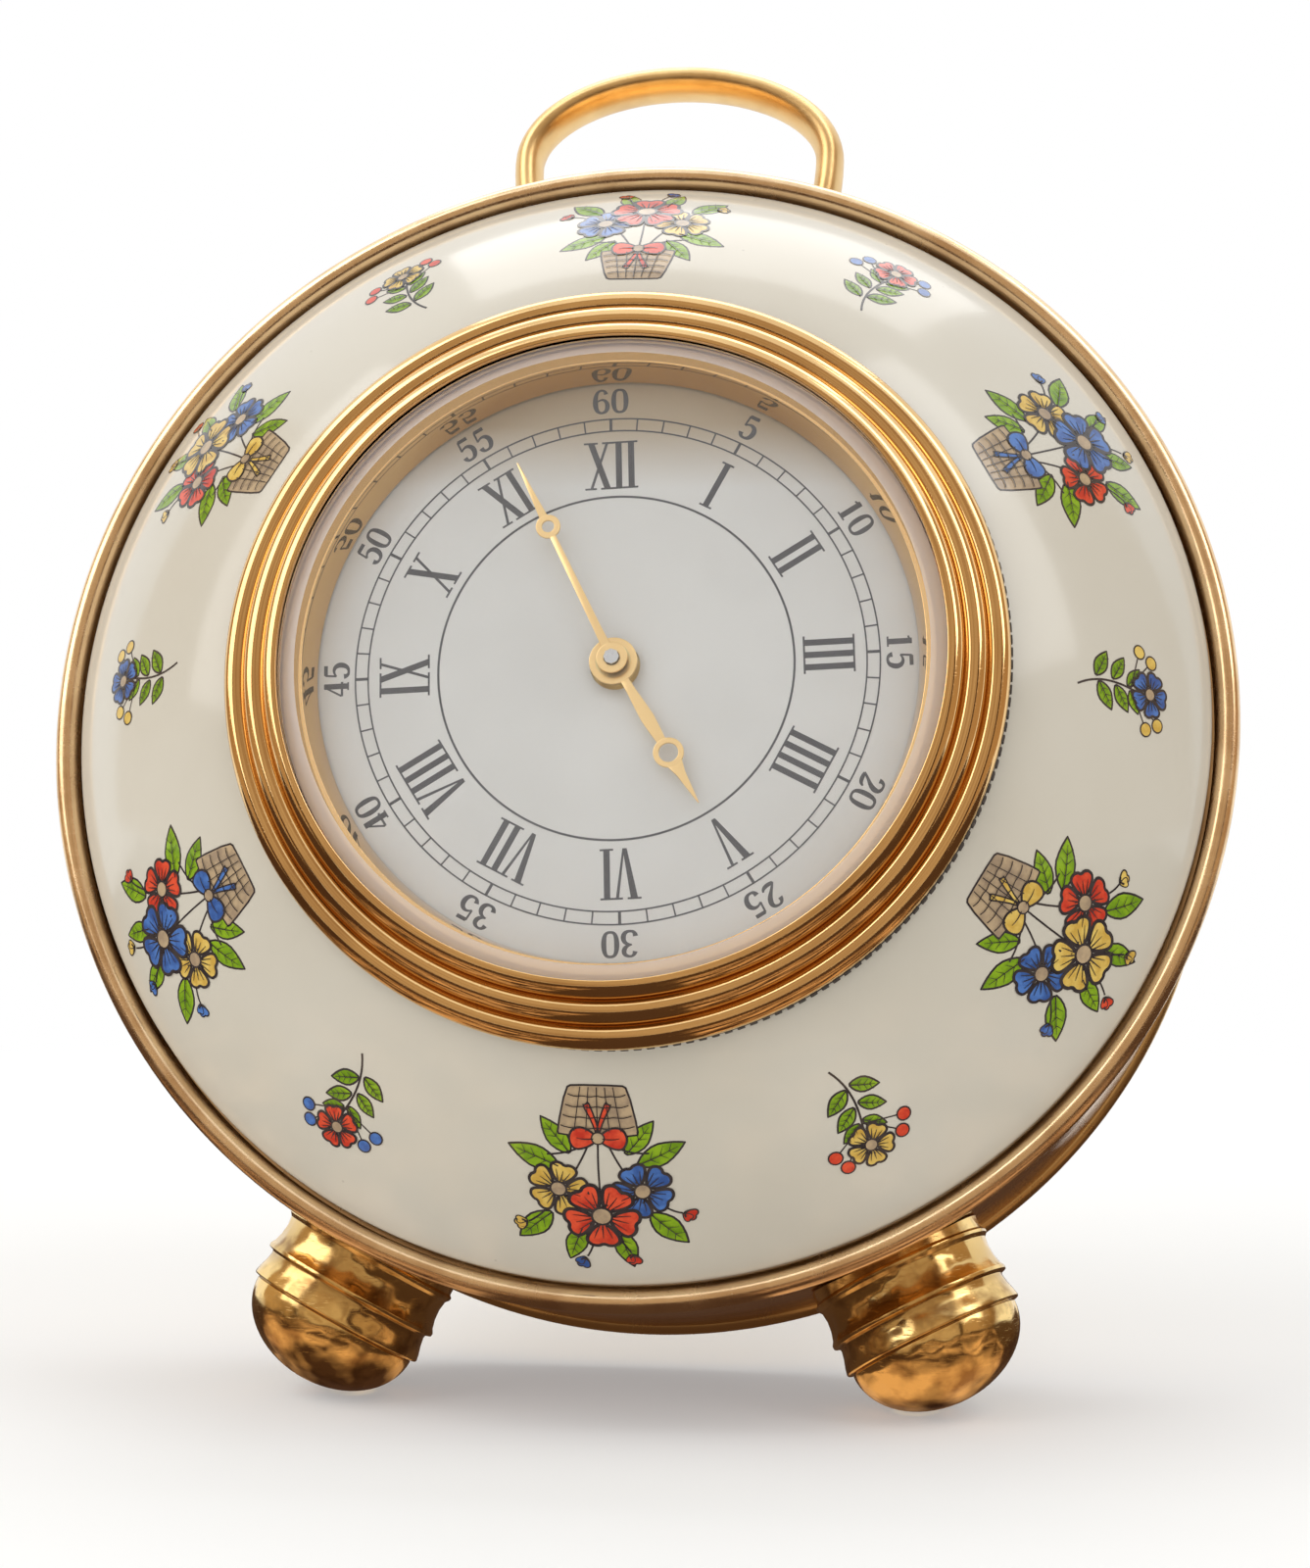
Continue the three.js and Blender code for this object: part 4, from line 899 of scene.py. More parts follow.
def painted(name, outline, paint, ink_width):
    """A flat patch of paint with an inked edge, in X and Z, facing the front."""
    patch = wire(name, outline, closed=True)
    patch.data.materials.append(pen_ink)
    patch.data.materials.append(paint)
    bpy.ops.mesh.edge_face_add()
    bpy.ops.mesh.normals_make_consistent(inside=False)
    bpy.ops.mesh.inset(thickness=ink_width)
    patch.active_material_index = 1
    bpy.ops.object.material_slot_assign()
    bpy.ops.mesh.poke()
    object_mode()
    if patch.data.polygons[0].normal.z < 0:
        patch.data.flip_normals()
    patch.data.transform(quarter("X"))
    return patch


def moved(line, x, z, angle, size=1):
    a = math.radians(angle)
    made = []
    for across, along, half in line:
        made.append((x + size * (across * math.cos(a) + along * math.sin(a)),
                     z + size * (along * math.cos(a) - across * math.sin(a)), half))
    return made


PETAL = soft([(0.06, 0.16), (0.34, 0.42), (0.52, 0.78), (0.36, 1.0), (0.12, 1.03), (0, 0.95), (-0.12, 1.03),
              (-0.36, 1.0), (-0.52, 0.78), (-0.34, 0.42), (-0.06, 0.16)])
LEAF = soft([(0, 0), (0.17, 0.2), (0.25, 0.48), (0.17, 0.76), (0.02, 1.02), (-0.02, 1.02), (-0.17, 0.76),
             (-0.25, 0.48), (-0.17, 0.2)], 1)
LOOP = soft([(0, -0.12), (0.5, -0.5), (1.0, -0.42), (1.2, 0.08), (0.96, 0.56), (0.45, 0.46), (0, 0.14)])
TAIL = soft([(-0.08, 0), (-0.34, -0.8), (-0.75, -1.6), (-0.55, -1.62), (-0.42, -1.85), (-0.08, -0.95),
             (0.16, 0)], 1)
ROUND = oval(1, 1, 0, 360, 16)[:-1]
BASKET = soft([(-1.35, -5.75), (1.35, -5.75), (1.75, -5.5), (2.3, -3.0), (2.2, -2.6), (-2.2, -2.6),
               (-2.3, -3.0), (-1.75, -5.5)], 1)


class Sketch:
    """The patches of paint, the stems under them and the pen lines over them, of one drawing."""

    def __init__(self):
        self.patches = []
        self.stems = []
        self.lines = []

    def lay(self, patch, x, z, angle, size, lift):
        """Copies a patch to a place on the drawing, turned clockwise, that far over the enamel."""
        broad, long = size
        scale = Matrix.Diagonal((broad, 1, long, 1))
        made = copied(patch, patch.name, shift(x, -lift, z) @ turn(angle) @ scale)
        if broad * long < 0:
            made.data.flip_normals()
        self.patches.append(made)

    def petal_lines(self, x, z, turned_by, size):
        for across in (-0.16, 0, 0.16):
            vein = [(across * 0.5, 0.3, 0.045), (across, 0.5, 0.04), (across * 1.5, 0.72, 0.015)]
            self.lines.append(moved(vein, x, z, turned_by, size))

    def blossom(self, petal, eye, x, z, size, turned_by, lift):
        """Five overlapping petals, a round eye and a ring of seven dots on it."""
        for i in range(5):
            angle = turned_by + 72 * i
            self.lay(petal, x, z, angle, (size, size), lift + 0.004 * i)
            self.petal_lines(x, z, angle, size)
        self.lay(eye, x, z, 0, (0.3 * size, 0.3 * size), lift + 0.024)
        for i in range(7):
            a = 2 * math.pi * i / 7
            dot_x, dot_z = x + 0.4 * size * math.sin(a), z + 0.4 * size * math.cos(a)
            self.lines.append([(dot_x, dot_z, 0.045), (dot_x + 0.05, dot_z + 0.05, 0.055)])

    def leaf(self, leaf, x, z, angle, long, broad):
        self.lay(leaf, x, z, angle, (broad, long), 0.01)
        self.lines.append(moved([(0, 0.06, 0.045), (0.02, 0.4, 0.04), (0, 0.86, 0.015)], x, z, angle, long))
        for along in (0.3, 0.5, 0.68):
            for side in (-1, 1):
                vein = [(0, along, 0.028), (side * 0.14 * broad / long, along + 0.12, 0.012)]
                self.lines.append(moved(vein, x, z, angle, long))

    def stem(self, points, half=0.065):
        self.stems.append([(x, z, half) for x, z in points])

    def finished(self, name, size):
        parts = []
        for word, lines, lift in (("stems", self.stems, STEM_LIFT), ("pen", self.lines, PEN_LIFT)):
            drawn = inked(word, lines, 0.1)
            drawn.data.materials.append(pen_ink)
            drawn.data.transform(shift(y=-lift))
            parts.append(drawn)
        sheet = joined(self.patches, name)
        modified(sheet, "SOLIDIFY", thickness=PAINT_BODY, offset=-1)
        piece = joined([sheet, *parts], name)
        piece.data.transform(Matrix.Diagonal((size, 1, size, 1)))
        return piece


def posy():
    """Three blossoms, buds and leaves in a small basket with a bow, its head upwards."""
    petals = [painted("petal", PETAL, paint, 0.1) for paint in (paint_red, paint_blue, paint_yellow)]
    eye = painted("eye", ROUND, paint_tan, 0.22)
    leaf = painted("leaf", LEAF, paint_green, 0.04)
    basket = painted("basket", BASKET, paint_tan, 0.11)
    loop = painted("loop", LOOP, paint_red, 0.09)
    tail = painted("tail", TAIL, paint_red, 0.08)
    sketch = Sketch()
    for x, z, angle, long, broad in (
        (-2.0, -0.9, -112, 3.0, 3.1), (2.1, -0.7, 108, 3.1, 3.2), (-1.4, -1.5, -140, 2.6, 2.8),
        (1.5, -1.5, 142, 2.7, 2.8), (-2.6, 2.1, -42, 3.2, 3.2), (2.7, 2.2, 44, 3.0, 3.1),
        (-0.9, 3.2, -14, 2.9, 2.9), (1.1, 3.1, 20, 2.6, 2.8),
    ):
        sketch.leaf(leaf, x, z, angle, long, broad)
    for points in (
        [(-0.4, -2.6), (-0.9, -1.2), (-1.9, 0.4)], [(0, -2.6), (0.1, -0.6), (0, 1.2)],
        [(0.4, -2.6), (0.9, -1.2), (1.9, 0.4)], [(-0.5, 3.4), (-1.2, 4.4), (-1.5, 5.0)],
        [(0.4, 3.6), (0.6, 4.6), (1.0, 5.3)], [(2.9, 1.9), (3.7, 2.9), (4.2, 3.2)],
        [(-3.2, 1.6), (-4.0, 2.3), (-4.5, 2.4)], [(-0.2, -2.6), (-1.3, -1.6), (-2.8, -1.6)],
        [(0.2, -2.6), (1.3, -1.6), (2.9, -1.4)],
    ):
        sketch.stem(points)
    sketch.lay(basket, 0, 0, 0, (1, 1), 0.02)
    for row in range(4):
        z = -3.2 - 0.62 * row
        half = 2.05 - 0.15 * row
        weave = [(-half + 2 * half * i / 8, z + (0.09 if i % 2 else -0.09), 0.035) for i in range(9)]
        sketch.lines.append(weave)
    for i in range(1, 6):
        across = (i - 3) / 3
        sketch.lines.append([(across * 1.95, -3.0, 0.03), (across * 1.35, -5.6, 0.03)])
    sketch.blossom(petals[1], eye, -2.35, 0.75, 1.75, 12, 0.03)
    sketch.blossom(petals[2], eye, 2.35, 0.7, 1.7, -20, 0.034)
    sketch.blossom(petals[0], eye, 0, 2.35, 2.15, 0, 0.045)
    for number, x, z, angle in (
        (0, -1.55, 4.9, -12), (1, 1.05, 5.2, 16), (2, 4.1, 3.1, 58), (0, -4.4, 2.3, -66),
    ):
        sketch.lay(petals[number], x, z, angle, (0.85, 1.0), 0.03)
        sketch.lay(petals[number], x, z, angle + 24, (0.6, 0.85), 0.034)
        sketch.lines.append(moved([(-0.24, 0.42, 0.06), (0, 0.12, 0.08), (0.24, 0.42, 0.06)], x, z, angle))
    for side in (-1, 1):
        sketch.lay(tail, 0, -2.75, 0, (side * 1.15, 1.15), 0.04)
        sketch.lay(loop, 0, -2.6, 0, (side * 1.45, 1.45), 0.045)
        crease = [(0.25 * side, -2.58, 0.04), (0.8 * side, -2.48, 0.04), (1.2 * side, -2.6, 0.015)]
        sketch.lines.append(crease)
    sketch.lay(eye, 0, -2.6, 0, (0.4, 0.4), 0.05)
    discard(*petals, eye, leaf, basket, loop, tail)
    return sketch.finished("posy", POSY_SIZE)


def sprig():
    """A curved twig with paired leaves, a small blossom and berries."""
    petal = painted("petal", PETAL, paint_red, 0.11)
    eye = painted("eye", ROUND, paint_tan, 0.22)
    berry = painted("berry", ROUND, paint_blue, 0.2)
    leaf = painted("leaf", LEAF, paint_green, 0.055)
    sketch = Sketch()
    sketch.stem([(0.5, -3.6), (-0.35, -2.0), (0.0, -0.4), (0.3, 0.8)], 0.075)
    for x, z, angle, long in (
        (-0.1, -2.4, -62, 1.9), (0.0, -2.2, 58, 2.0), (-0.1, -1.2, -58, 1.8), (0.05, -1.0, 56, 1.9),
        (0.1, -0.1, -50, 1.6), (0.2, 0.1, 62, 1.6),
    ):
        sketch.leaf(leaf, x, z, angle, long, long * 1.15)
    for x, z in ((-2.2, 1.0), (-1.7, 1.9), (2.4, 1.5), (2.0, 2.4)):
        sketch.stem([(0.15, 0.2), (x * 0.5, z * 0.4 + 0.2), (x * 0.92, z * 0.92)], 0.05)
        sketch.lay(berry, x, z, 0, (0.46, 0.46), 0.03)
    sketch.blossom(petal, eye, 0.25, 1.7, 1.4, 6, 0.04)
    discard(petal, eye, berry, leaf)
    return sketch.finished("sprig", SPRIG_SIZE)


def fired_on(piece, from_rim):
    """Lays a flat drawing on the dome at twelve, keeping its true size along the curve."""
    for corner in piece.data.vertices:
        x, y, z = corner.co
        slope = EDGE_SLOPE + (from_rim - z) / DOME_ARC
        radius = DOME_CENTRE_RADIUS + DOME_ARC * math.cos(slope)
        turned_by = x / radius
        radius -= y * math.cos(slope)
        depth = DOME_CENTRE_DEPTH - (DOME_ARC - y) * math.sin(slope)
        corner.co = (radius * math.sin(turned_by), depth, radius * math.cos(turned_by))
    piece.data.update()
    return piece


def recoloured(pattern, name, change):
    """A copy of a drawing with its flowers' paints changed round."""
    twin = copied(pattern, name)
    for slot, paint in enumerate(list(twin.data.materials)):
        twin.data.materials[slot] = change.get(paint.name, paint)
    return twin


flower_paints = (paint_red, paint_blue, paint_yellow)
drawings = {"posy": fired_on(posy(), POSY_FROM_RIM), "sprig": fired_on(sprig(), SPRIG_FROM_RIM)}
for number in range(BUNCHES):
    change = {paint.name: flower_paints[(i + number) % 3] for i, paint in enumerate(flower_paints)}
    for (kind, pattern), degrees in zip(drawings.items(), (0, 30)):
        drawing = recoloured(pattern, f"painted_{kind}_{number + 1}", change)
        drawing.data.transform(turn(60 * number + degrees))
        ready(drawing, CASE, None, angle=50)
discard(*drawings.values())

# Feet and handle

FOOT_BASE = BAND_RADIUS + SEAT
FOOT_GROOVE = BAND_RADIUS + 3.75
BALL_SEAM = FOOT_GROOVE + 1.9
BALL_RADIUS = 5.98
BALL_HEIGHT = 4.6
BALL_NECK = 0.12
STUD_LENGTH = 7.2
STUD_RADIUS = 1.5
STUD_MIDDLE = 38.1


def foot():
    """A turned foot standing on +Z: a flaring barrel, a groove, a second band and a flattened ball."""
    outline = [
        (0, BAND_RADIUS - 1.5), (6.1, BAND_RADIUS - 1.5), (6.15, FOOT_BASE + 0.25), (6.32, FOOT_BASE + 0.4),
        (6.3, FOOT_BASE + 0.6), (6.08, FOOT_BASE + 0.85), (6.0, FOOT_BASE + 1.5), (6.06, FOOT_BASE + 2.2),
        (6.22, FOOT_BASE + 2.8), (6.4, FOOT_GROOVE - 0.35), (6.38, FOOT_GROOVE - 0.12), (6.02, FOOT_GROOVE),
        (5.98, FOOT_GROOVE + 0.2), (6.08, FOOT_GROOVE + 0.75), (6.26, FOOT_GROOVE + 1.35),
        (6.34, BALL_SEAM - 0.12), (6.28, BALL_SEAM - 0.02), (5.85, BALL_SEAM), (5.85, BALL_SEAM + 0.1),
    ]
    ball = oval(BALL_RADIUS, BALL_HEIGHT - BALL_NECK, 0, 90, 18)
    outline += [(x, BALL_SEAM + BALL_NECK + z) for x, z in ball]
    body = turned("foot", outline, MEDIUM, 0.05)
    body.data.transform(shift(y=DRUM_MIDDLE) @ quarter("X"))
    cut_away(body, turned("drum", oblong(0, FOOT_BASE - 0.15, -10, 34), FINE, 0))
    stud = bar("stud", STUD_LENGTH, STUD_RADIUS, "Z", 0.1)
    stud.data.transform(shift(0, DRUM_MIDDLE, STUD_MIDDLE))
    return joined([body, stud], "foot")


first_foot = foot()
second_foot = copied(first_foot, "foot_turned_left", turn(180 + FOOT_ANGLE))
first_foot.name = "foot_turned_right"
first_foot.data.transform(turn(180 - FOOT_ANGLE))
ready(first_foot, CASE, gilt_feet, "foot_right")
ready(second_foot, CASE, gilt_feet, "foot_left")


HANDLE_THICK = 1.05  # half widths of the bar's section
HANDLE_DEEP = 1.9


def handle():
    """A bow handle of oval section, in the middle of the drum."""
    waist, half_width, shoulder, arch = 9.5, 11.45, 46.5, 6.70
    low = math.sqrt(BAND_RADIUS ** 2 - waist ** 2) - 0.9
    legs = []
    for i in range(10):
        up = i / 10
        x = waist + (half_width - waist) * math.sin(up * math.pi / 2)
        legs.append((x, low + (shoulder - low) * up))
    crown = [(x, shoulder + z) for x, z in oval(half_width, arch, 0, 180, 40)]
    path = legs + crown + [(-x, z) for x, z in reversed(legs)]
    bow = swept("bow_handle", oval(HANDLE_THICK, HANDLE_DEEP, 0, 360, 24)[:-1], path)
    bow.data.transform(shift(y=DRUM_MIDDLE) @ quarter("X"))
    return cut_away(bow, turned("drum", oblong(0, BAND_RADIUS + 0.02, 0, BACK_FACE), FINE, 0))


ready(handle(), CASE, gilt_handle, "handle", angle=50)

# Back of the case

SCREW_HEAD = 1.9
BRACKET_HIGH = BAND_RADIUS - 4
BRACKET_LOW = BRACKET_HIGH - 11
BRACKET_HALF = 8
BRACKET_FRONT = BACK_FACE + 0.05
BRACKET_BACK = BACK_FACE + SEAT + 1
PIN_DEPTH = BACK_FACE + 3.4
PIN_HEIGHT = BRACKET_LOW + 2.8
PIN_RADIUS = 0.9
PIN_HEAD = 1.4
EYE_RADIUS = 1.7
WEB_HALF = 1.66
EAR = 1.2


def slotted_screw():
    """A slotted screw with a domed head, standing on depth 0."""
    outline = [(0, SEAT * 0.2), (SCREW_HEAD - 0.1, SEAT * 0.2), (SCREW_HEAD, 0.3), (SCREW_HEAD, 0.65)]
    outline += [(SCREW_HEAD * 0.86, 0.92), (SCREW_HEAD * 0.6, 1.06), (0, 1.1)]
    screw = turned("screw", outline, SMALL, 0.06)
    return cut_away(screw, rounded_block("slot", (-3, 0.66, -0.25), (3, 2, 0.25), 0))


screw_places = {}
for number, angle in enumerate(SCREW_ANGLES, 1):
    spot = turn(angle) @ Vector((0, BACK_FACE, SCREW_CIRCLE))
    screw_places[f"cover_screw_{number}"] = (shift(*spot) @ turn(angle * 1.7), f"back_screw_{number}")
for number, side in enumerate((-1, 1), 1):
    place = shift(side * 4.6, BRACKET_BACK, BRACKET_HIGH - 3) @ turn(side * 25)
    screw_places[f"hinge_screw_{number}"] = (place, f"bracket_screw_{number}")
screw_pattern = slotted_screw()
for name, (place, solid) in screw_places.items():
    ready(copied(screw_pattern, name, place), CASE, gilt_back, solid)
discard(screw_pattern)


def bracket():
    """The strut's hinge: a plate with two ears, each with an eye for the pin."""
    outline = eased(oblong(-BRACKET_HALF, BRACKET_HALF, BRACKET_LOW, BRACKET_HIGH), 1.2, 6)
    parts = [cut_out("leaf", outline, BRACKET_FRONT, BRACKET_BACK, 0.18, 3)]
    for side in (-1, 1):
        middle = side * (BRACKET_HALF - EAR / 2)
        eye = bar("eye", EAR, EYE_RADIUS, "X", 0.15)
        eye.data.transform(shift(middle, PIN_DEPTH, PIN_HEIGHT))
        low = (middle - EAR / 2, BRACKET_BACK - 0.4, PIN_HEIGHT - WEB_HALF)
        high = (middle + EAR / 2, PIN_DEPTH, PIN_HEIGHT + WEB_HALF)
        parts += [eye, rounded_block("web", low, high, 0.12)]
    return joined(parts, "strut_hinge")


ready(bracket(), CASE, gilt_back, "strut_bracket")

pin_half = BRACKET_HALF + SEAT
pin_end = [(PIN_RADIUS, pin_half), (PIN_HEAD, pin_half), (PIN_HEAD, pin_half + 0.2), (0.9, pin_half + 0.5)]
pin_end.append((0, pin_half + 0.5))
pin_outline = [(radius, -along) for radius, along in reversed(pin_end)] + pin_end
hinge_pin = turned("strut_pin", pin_outline, SMALL, 0.08)
hinge_pin.data.transform(shift(0, PIN_DEPTH, PIN_HEIGHT) @ quarter("Z"))
ready(hinge_pin, CASE, gilt_back, "hinge_pin")

STRUT_LENGTH = PIN_HEIGHT + BAND_RADIUS + 5.4
STRUT_TIP = 1.58
STRUT_TILT = math.acos((joints["strut_fold"]["pos_m"][2] / MM - STRUT_TIP + 0.45) / STRUT_LENGTH)
strut_place = CASE @ shift(0, PIN_DEPTH, PIN_HEIGHT) @ Matrix.Rotation(STRUT_TILT + LEAN, 4, "X")


def strut():
    """The easel strut, hanging from its pin at the origin, with a pressed rib down its middle."""
    knuckle_half = BRACKET_HALF - EAR - SEAT
    top, foot_half, end = 5.6, 3.9, -STRUT_LENGTH
    outline = [(-top, 0.6), (-top, -4), (-foot_half, end), (foot_half, end), (top, -4), (top, 0.6)]
    blade = cut_out("blade", eased(outline, 0.8, 4), -0.7, 0.7, 0.2, 3)
    rib_outline = [(-1.5, -12), (-1.1, end + 12), (1.1, end + 12), (1.5, -12)]
    rib = cut_out("rib", eased(rib_outline, 1.05, 6), 0.3, 1.0, 0.3, 3)
    knuckle = bar("knuckle", 2 * knuckle_half, EYE_RADIUS, "X", 0.2)
    tip = bar("tip", 7.8, STRUT_TIP, "X", 0.25)
    tip.data.transform(shift(z=end))
    return joined([blade, rib, knuckle, tip], "easel_strut")


easel = strut()
at_place(easel, strut_place)
only(easel)
start_editing()
table = (0, 0, 0.00001)  # the strut's tip is filed flat where it stands
bpy.ops.mesh.bisect(plane_co=table, plane_no=(0, 0, 1), use_fill=True, clear_inner=True, threshold=1e-7)
object_mode()
ready(easel, Matrix.Identity(4), gilt_back, "strut", body="strut")

# Back of the insert

HATCH_RADIUS = 7.3
HATCH_OFFSET = 9.5
KNOB_RADIUS = 4.2
KNOB_DEPTH = 3
FLUTES = 16
setting_axis = INSERT.inverted() @ Vector(joints["knob_turn"]["pos_m"])
SETTING_OFFSET = setting_axis.z
CAN_INSIDE = CAN_BACK - 1
CAN_GROOVE = 13.7
CUT_FRONT = 8  # depths that the holes in the can are cut between
CUT_BACK = 14


def sector(inner, outer, middle, span):
    """The outline of a piece of a ring, as (x, z), that spans so many degrees."""
    low, high = middle - span / 2, middle + span / 2
    return oval(outer, outer, low, high, 8) + oval(inner, inner, high, low, 8)


def can():
    """The movement's housing, with a turned groove, the hatch's mouth and notches, and the knob's hole."""
    neck = BARREL_BORE - SEAT
    shell = turned("movement_can", [
        (neck, BARREL_BACK - 3),
        (neck, BARREL_BACK + SEAT),
        (BARREL_RADIUS, BARREL_BACK + SEAT),
        (BARREL_RADIUS, CAN_BACK - 0.7),
        (BARREL_RADIUS - 0.2, CAN_BACK - 0.2),
        (BARREL_RADIUS - 0.7, CAN_BACK),
        (CAN_GROOVE + 0.3, CAN_BACK),
        (CAN_GROOVE + 0.1, CAN_BACK - 0.12),
        (CAN_GROOVE - 0.1, CAN_BACK - 0.12),
        (CAN_GROOVE - 0.3, CAN_BACK),
        (0, CAN_BACK),
        (0, CAN_INSIDE),
        (neck - 1, CAN_INSIDE),
        (neck - 1, BARREL_BACK - 3),
    ], FINE, 0.08)
    holes = [turned("mouth", oblong(0, HATCH_RADIUS + 0.25, CUT_FRONT, CUT_BACK), MEDIUM, 0)]
    for middle in (45, 225):
        holes.append(cut_out("notch", sector(6, HATCH_RADIUS + 1.6, middle, 26), CUT_FRONT, CUT_BACK))
    for hole in holes:
        hole.data.transform(shift(z=HATCH_OFFSET))
    setting_hole = turned("hole", oblong(0, 0.8, CUT_FRONT, CUT_BACK), 32, 0)
    setting_hole.data.transform(shift(z=SETTING_OFFSET))
    return cut_away(shell, *holes, setting_hole)


def hatch():
    """The battery's lid, with a coin slot and two lugs."""
    lid = turned("hatch_lid", [
        (0, CAN_INSIDE),
        (HATCH_RADIUS - 0.9, CAN_INSIDE),
        (HATCH_RADIUS - 0.9, CAN_INSIDE - 2),
        (HATCH_RADIUS, CAN_INSIDE - 2),
        (HATCH_RADIUS, CAN_BACK),
        (0, CAN_BACK),
    ], MEDIUM, 0.12)
    cut_away(lid, rounded_block("coin_slot", (-4, CAN_BACK - 0.5, -0.65), (4, CAN_BACK + 1, 0.65), 0.3))
    parts = [lid]
    for middle in (0, 180):
        lug = sector(6.9, HATCH_RADIUS + 1.3, middle, 20)
        parts.append(cut_out("lug", lug, CAN_INSIDE - 1.1, CAN_INSIDE - 0.3, 0.1))
    piece = joined(parts, "battery_hatch_lid")
    piece.data.transform(shift(z=HATCH_OFFSET))
    return piece


def knob():
    """The setting knob, fluted round its edge and dished on top."""
    steps = FLUTES * 8
    points = []
    for i in range(steps):
        a = 2 * math.pi * i / steps
        radius = KNOB_RADIUS - 0.36 * (0.5 + 0.5 * math.cos(FLUTES * a)) ** 2
        points.append((radius * math.cos(a), radius * math.sin(a)))
    front = CAN_BACK + SEAT
    crown = front + KNOB_DEPTH
    body = cut_out("knob", points, front, crown)
    dish = [(0, crown - 0.35), (2.6, crown - 0.35), (3.1, crown), (3.1, crown + 1), (0, crown + 1)]
    cut_away(body, turned("dish", dish, SMALL, 0.15))
    edge = KNOB_RADIUS - 0.35
    chamfer = [(edge, crown), (5, crown - 1.65), (5, crown + 1), (edge, crown + 1)]
    cut_away(body, turned("chamfer", chamfer, MEDIUM, 0))
    boss = turned("boss", oblong(0, 1, front, crown - 0.1), SMALL, 0.1)
    piece = joined([body, boss], "time_knob")
    piece.data.transform(shift(z=SETTING_OFFSET))
    return piece


ready(can(), INSERT, brass, "insert_can")
ready(hatch(), INSERT, brass, "battery_hatch", body="battery_hatch")
ready(knob(), INSERT, brass, "setting_knob", body="setting")


def gasket():
    """The rubber ring under the bezel, with the teeth of its edge just showing past it at one side."""
    inner, flange, teeth = 22.85, 24.8, 192
    front = BEZEL_SEAT + 0.05
    ring = turned("gasket", [
        (inner, front),
        (flange, front),
        (flange, dome_depth(flange) - 0.12),
        (DOME_HOLE - 0.35, dome_depth(DOME_HOLE) - 0.1),
        (DOME_HOLE - 0.35, front + 2.3),
        (inner, front + 2.3),
    ], FINE, 0.04)
    half = 2 * math.pi * flange / teeth * 0.3
    low = (-half, front + 0.02, flange - 0.3)
    high = (half, dome_depth(flange) - 0.15, flange + 0.13)
    tooth = rounded_block("tooth", low, high, 0.04)
    only(tooth)
    start_editing()
    bpy.ops.mesh.spin(steps=teeth, dupli=True, angle=2 * math.pi, center=(0, 0, 0), axis=(0, 1, 0))
    piece = joined([ring, tooth], "toothed_gasket")
    piece.data.transform(shift(0.29, 0, -0.14))
    return piece


ready(gasket(), INSERT, rubber, "insert_gasket")

# Hands


def ringed_hand(name, front, hub, bore, eye_at, eye, eye_hole, blades, angle):
    """A hand pointing to twelve, turned to its time: a hub and an open ring joined by two blades.

    A blade is a list of (distance from the hub, half width).
    """
    back = front + HAND_THICKNESS
    hub_disc = turned("hub", oblong(bore, hub, front, back), SMALL, 0.05)
    ring = turned("ring", oblong(eye_hole, eye, front, back), SMALL, 0.05)
    ring.data.transform(shift(z=eye_at))
    parts = [hub_disc, ring]
    for widths in blades:
        outline = [(-half, along) for along, half in widths]
        outline += [(half, along) for along, half in reversed(widths)]
        parts.append(cut_out("blade", outline, front + 0.01, back - 0.01, 0.035))
    hand = joined(parts, name)
    hand.data.transform(turn(angle))
    return hand


hour_blades = (
    [(1.2, 0.26), (2.4, 0.3), (3.4, 0.38), (4.4, 0.44), (5.4, 0.38), (6.22, 0.3)],
    [(7.9, 0.52), (8.68, 0.3), (10.9, 0.04)],
)
minute_blades = ([(0.8, 0.3), (2.2, 0.26), (9.3, 0.2)], [(10.55, 0.28), (12, 0.19), (14.8, 0.05)])
hour_hand = ringed_hand("hour_pointer", HOUR_HAND_FRONT, 1.55, 1.0, 7.1, 0.98, 0.62, hour_blades, HOUR_ANGLE)
ready(hour_hand, INSERT, hand_gilding, "hour_hand", body="hour_train")
minute_hand = ringed_hand(
    "minute_pointer", MINUTE_HAND_FRONT, 1.0, 0.5, 9.9, 0.8, 0.4, minute_blades, MINUTE_ANGLE
)
ready(minute_hand, INSERT, hand_gilding, "minute_hand", body="minute_train")

# Solids that stay as they are, with their own finishes

for names, material in (
    (("foot_nut_right", "foot_nut_left", "handle_nut_left", "handle_nut_right"), brass),
    (("hour_wheel", "centre_wheel", "minute_wheel"), brass),
    (("cannon_arbor", "drive_pinion", "setting_shaft", "stator_core", "battery"), steel),
    (("battery_contact_inner", "battery_contact_side"), steel),
    (("main_plate", "movement_cover", "drive_module"), black_plastic),
    (("movement_holder", "coil_bobbin"), pale_plastic),
    (("coil_winding",), copper),
    (("circuit_board",), green_board),
):
    for node_name in names:
        kept = nodes[node_name]
        kept.data.materials.clear()
        kept.data.materials.append(material)

# Camera, lights and floor

camera_data = bpy.data.cameras.new("camera")
camera_data.lens = 63.3
camera_data.sensor_width = 36
camera_data.clip_start = 0.01
camera_data.clip_end = 50
camera = bpy.data.objects.new("camera", camera_data)
bpy.context.scene.collection.objects.link(camera)
bpy.context.scene.camera = camera
look_right = Vector((0.9926, 0.1148, 0.0402))
look_up = Vector((-0.0095, -0.2567, 0.9664))
look_back = Vector((0.1213, -0.9597, -0.2537))
spin = Matrix.Rotation(-LEAN, 3, "X")
facing = Matrix((spin @ look_right, spin @ look_up, spin @ look_back)).transposed()
standpoint = CASE @ Vector((23.98, -167.27 + DIAL_FRONT, -51.93))
camera.matrix_world = Matrix.Translation(standpoint) @ facing.normalized().to_4x4()


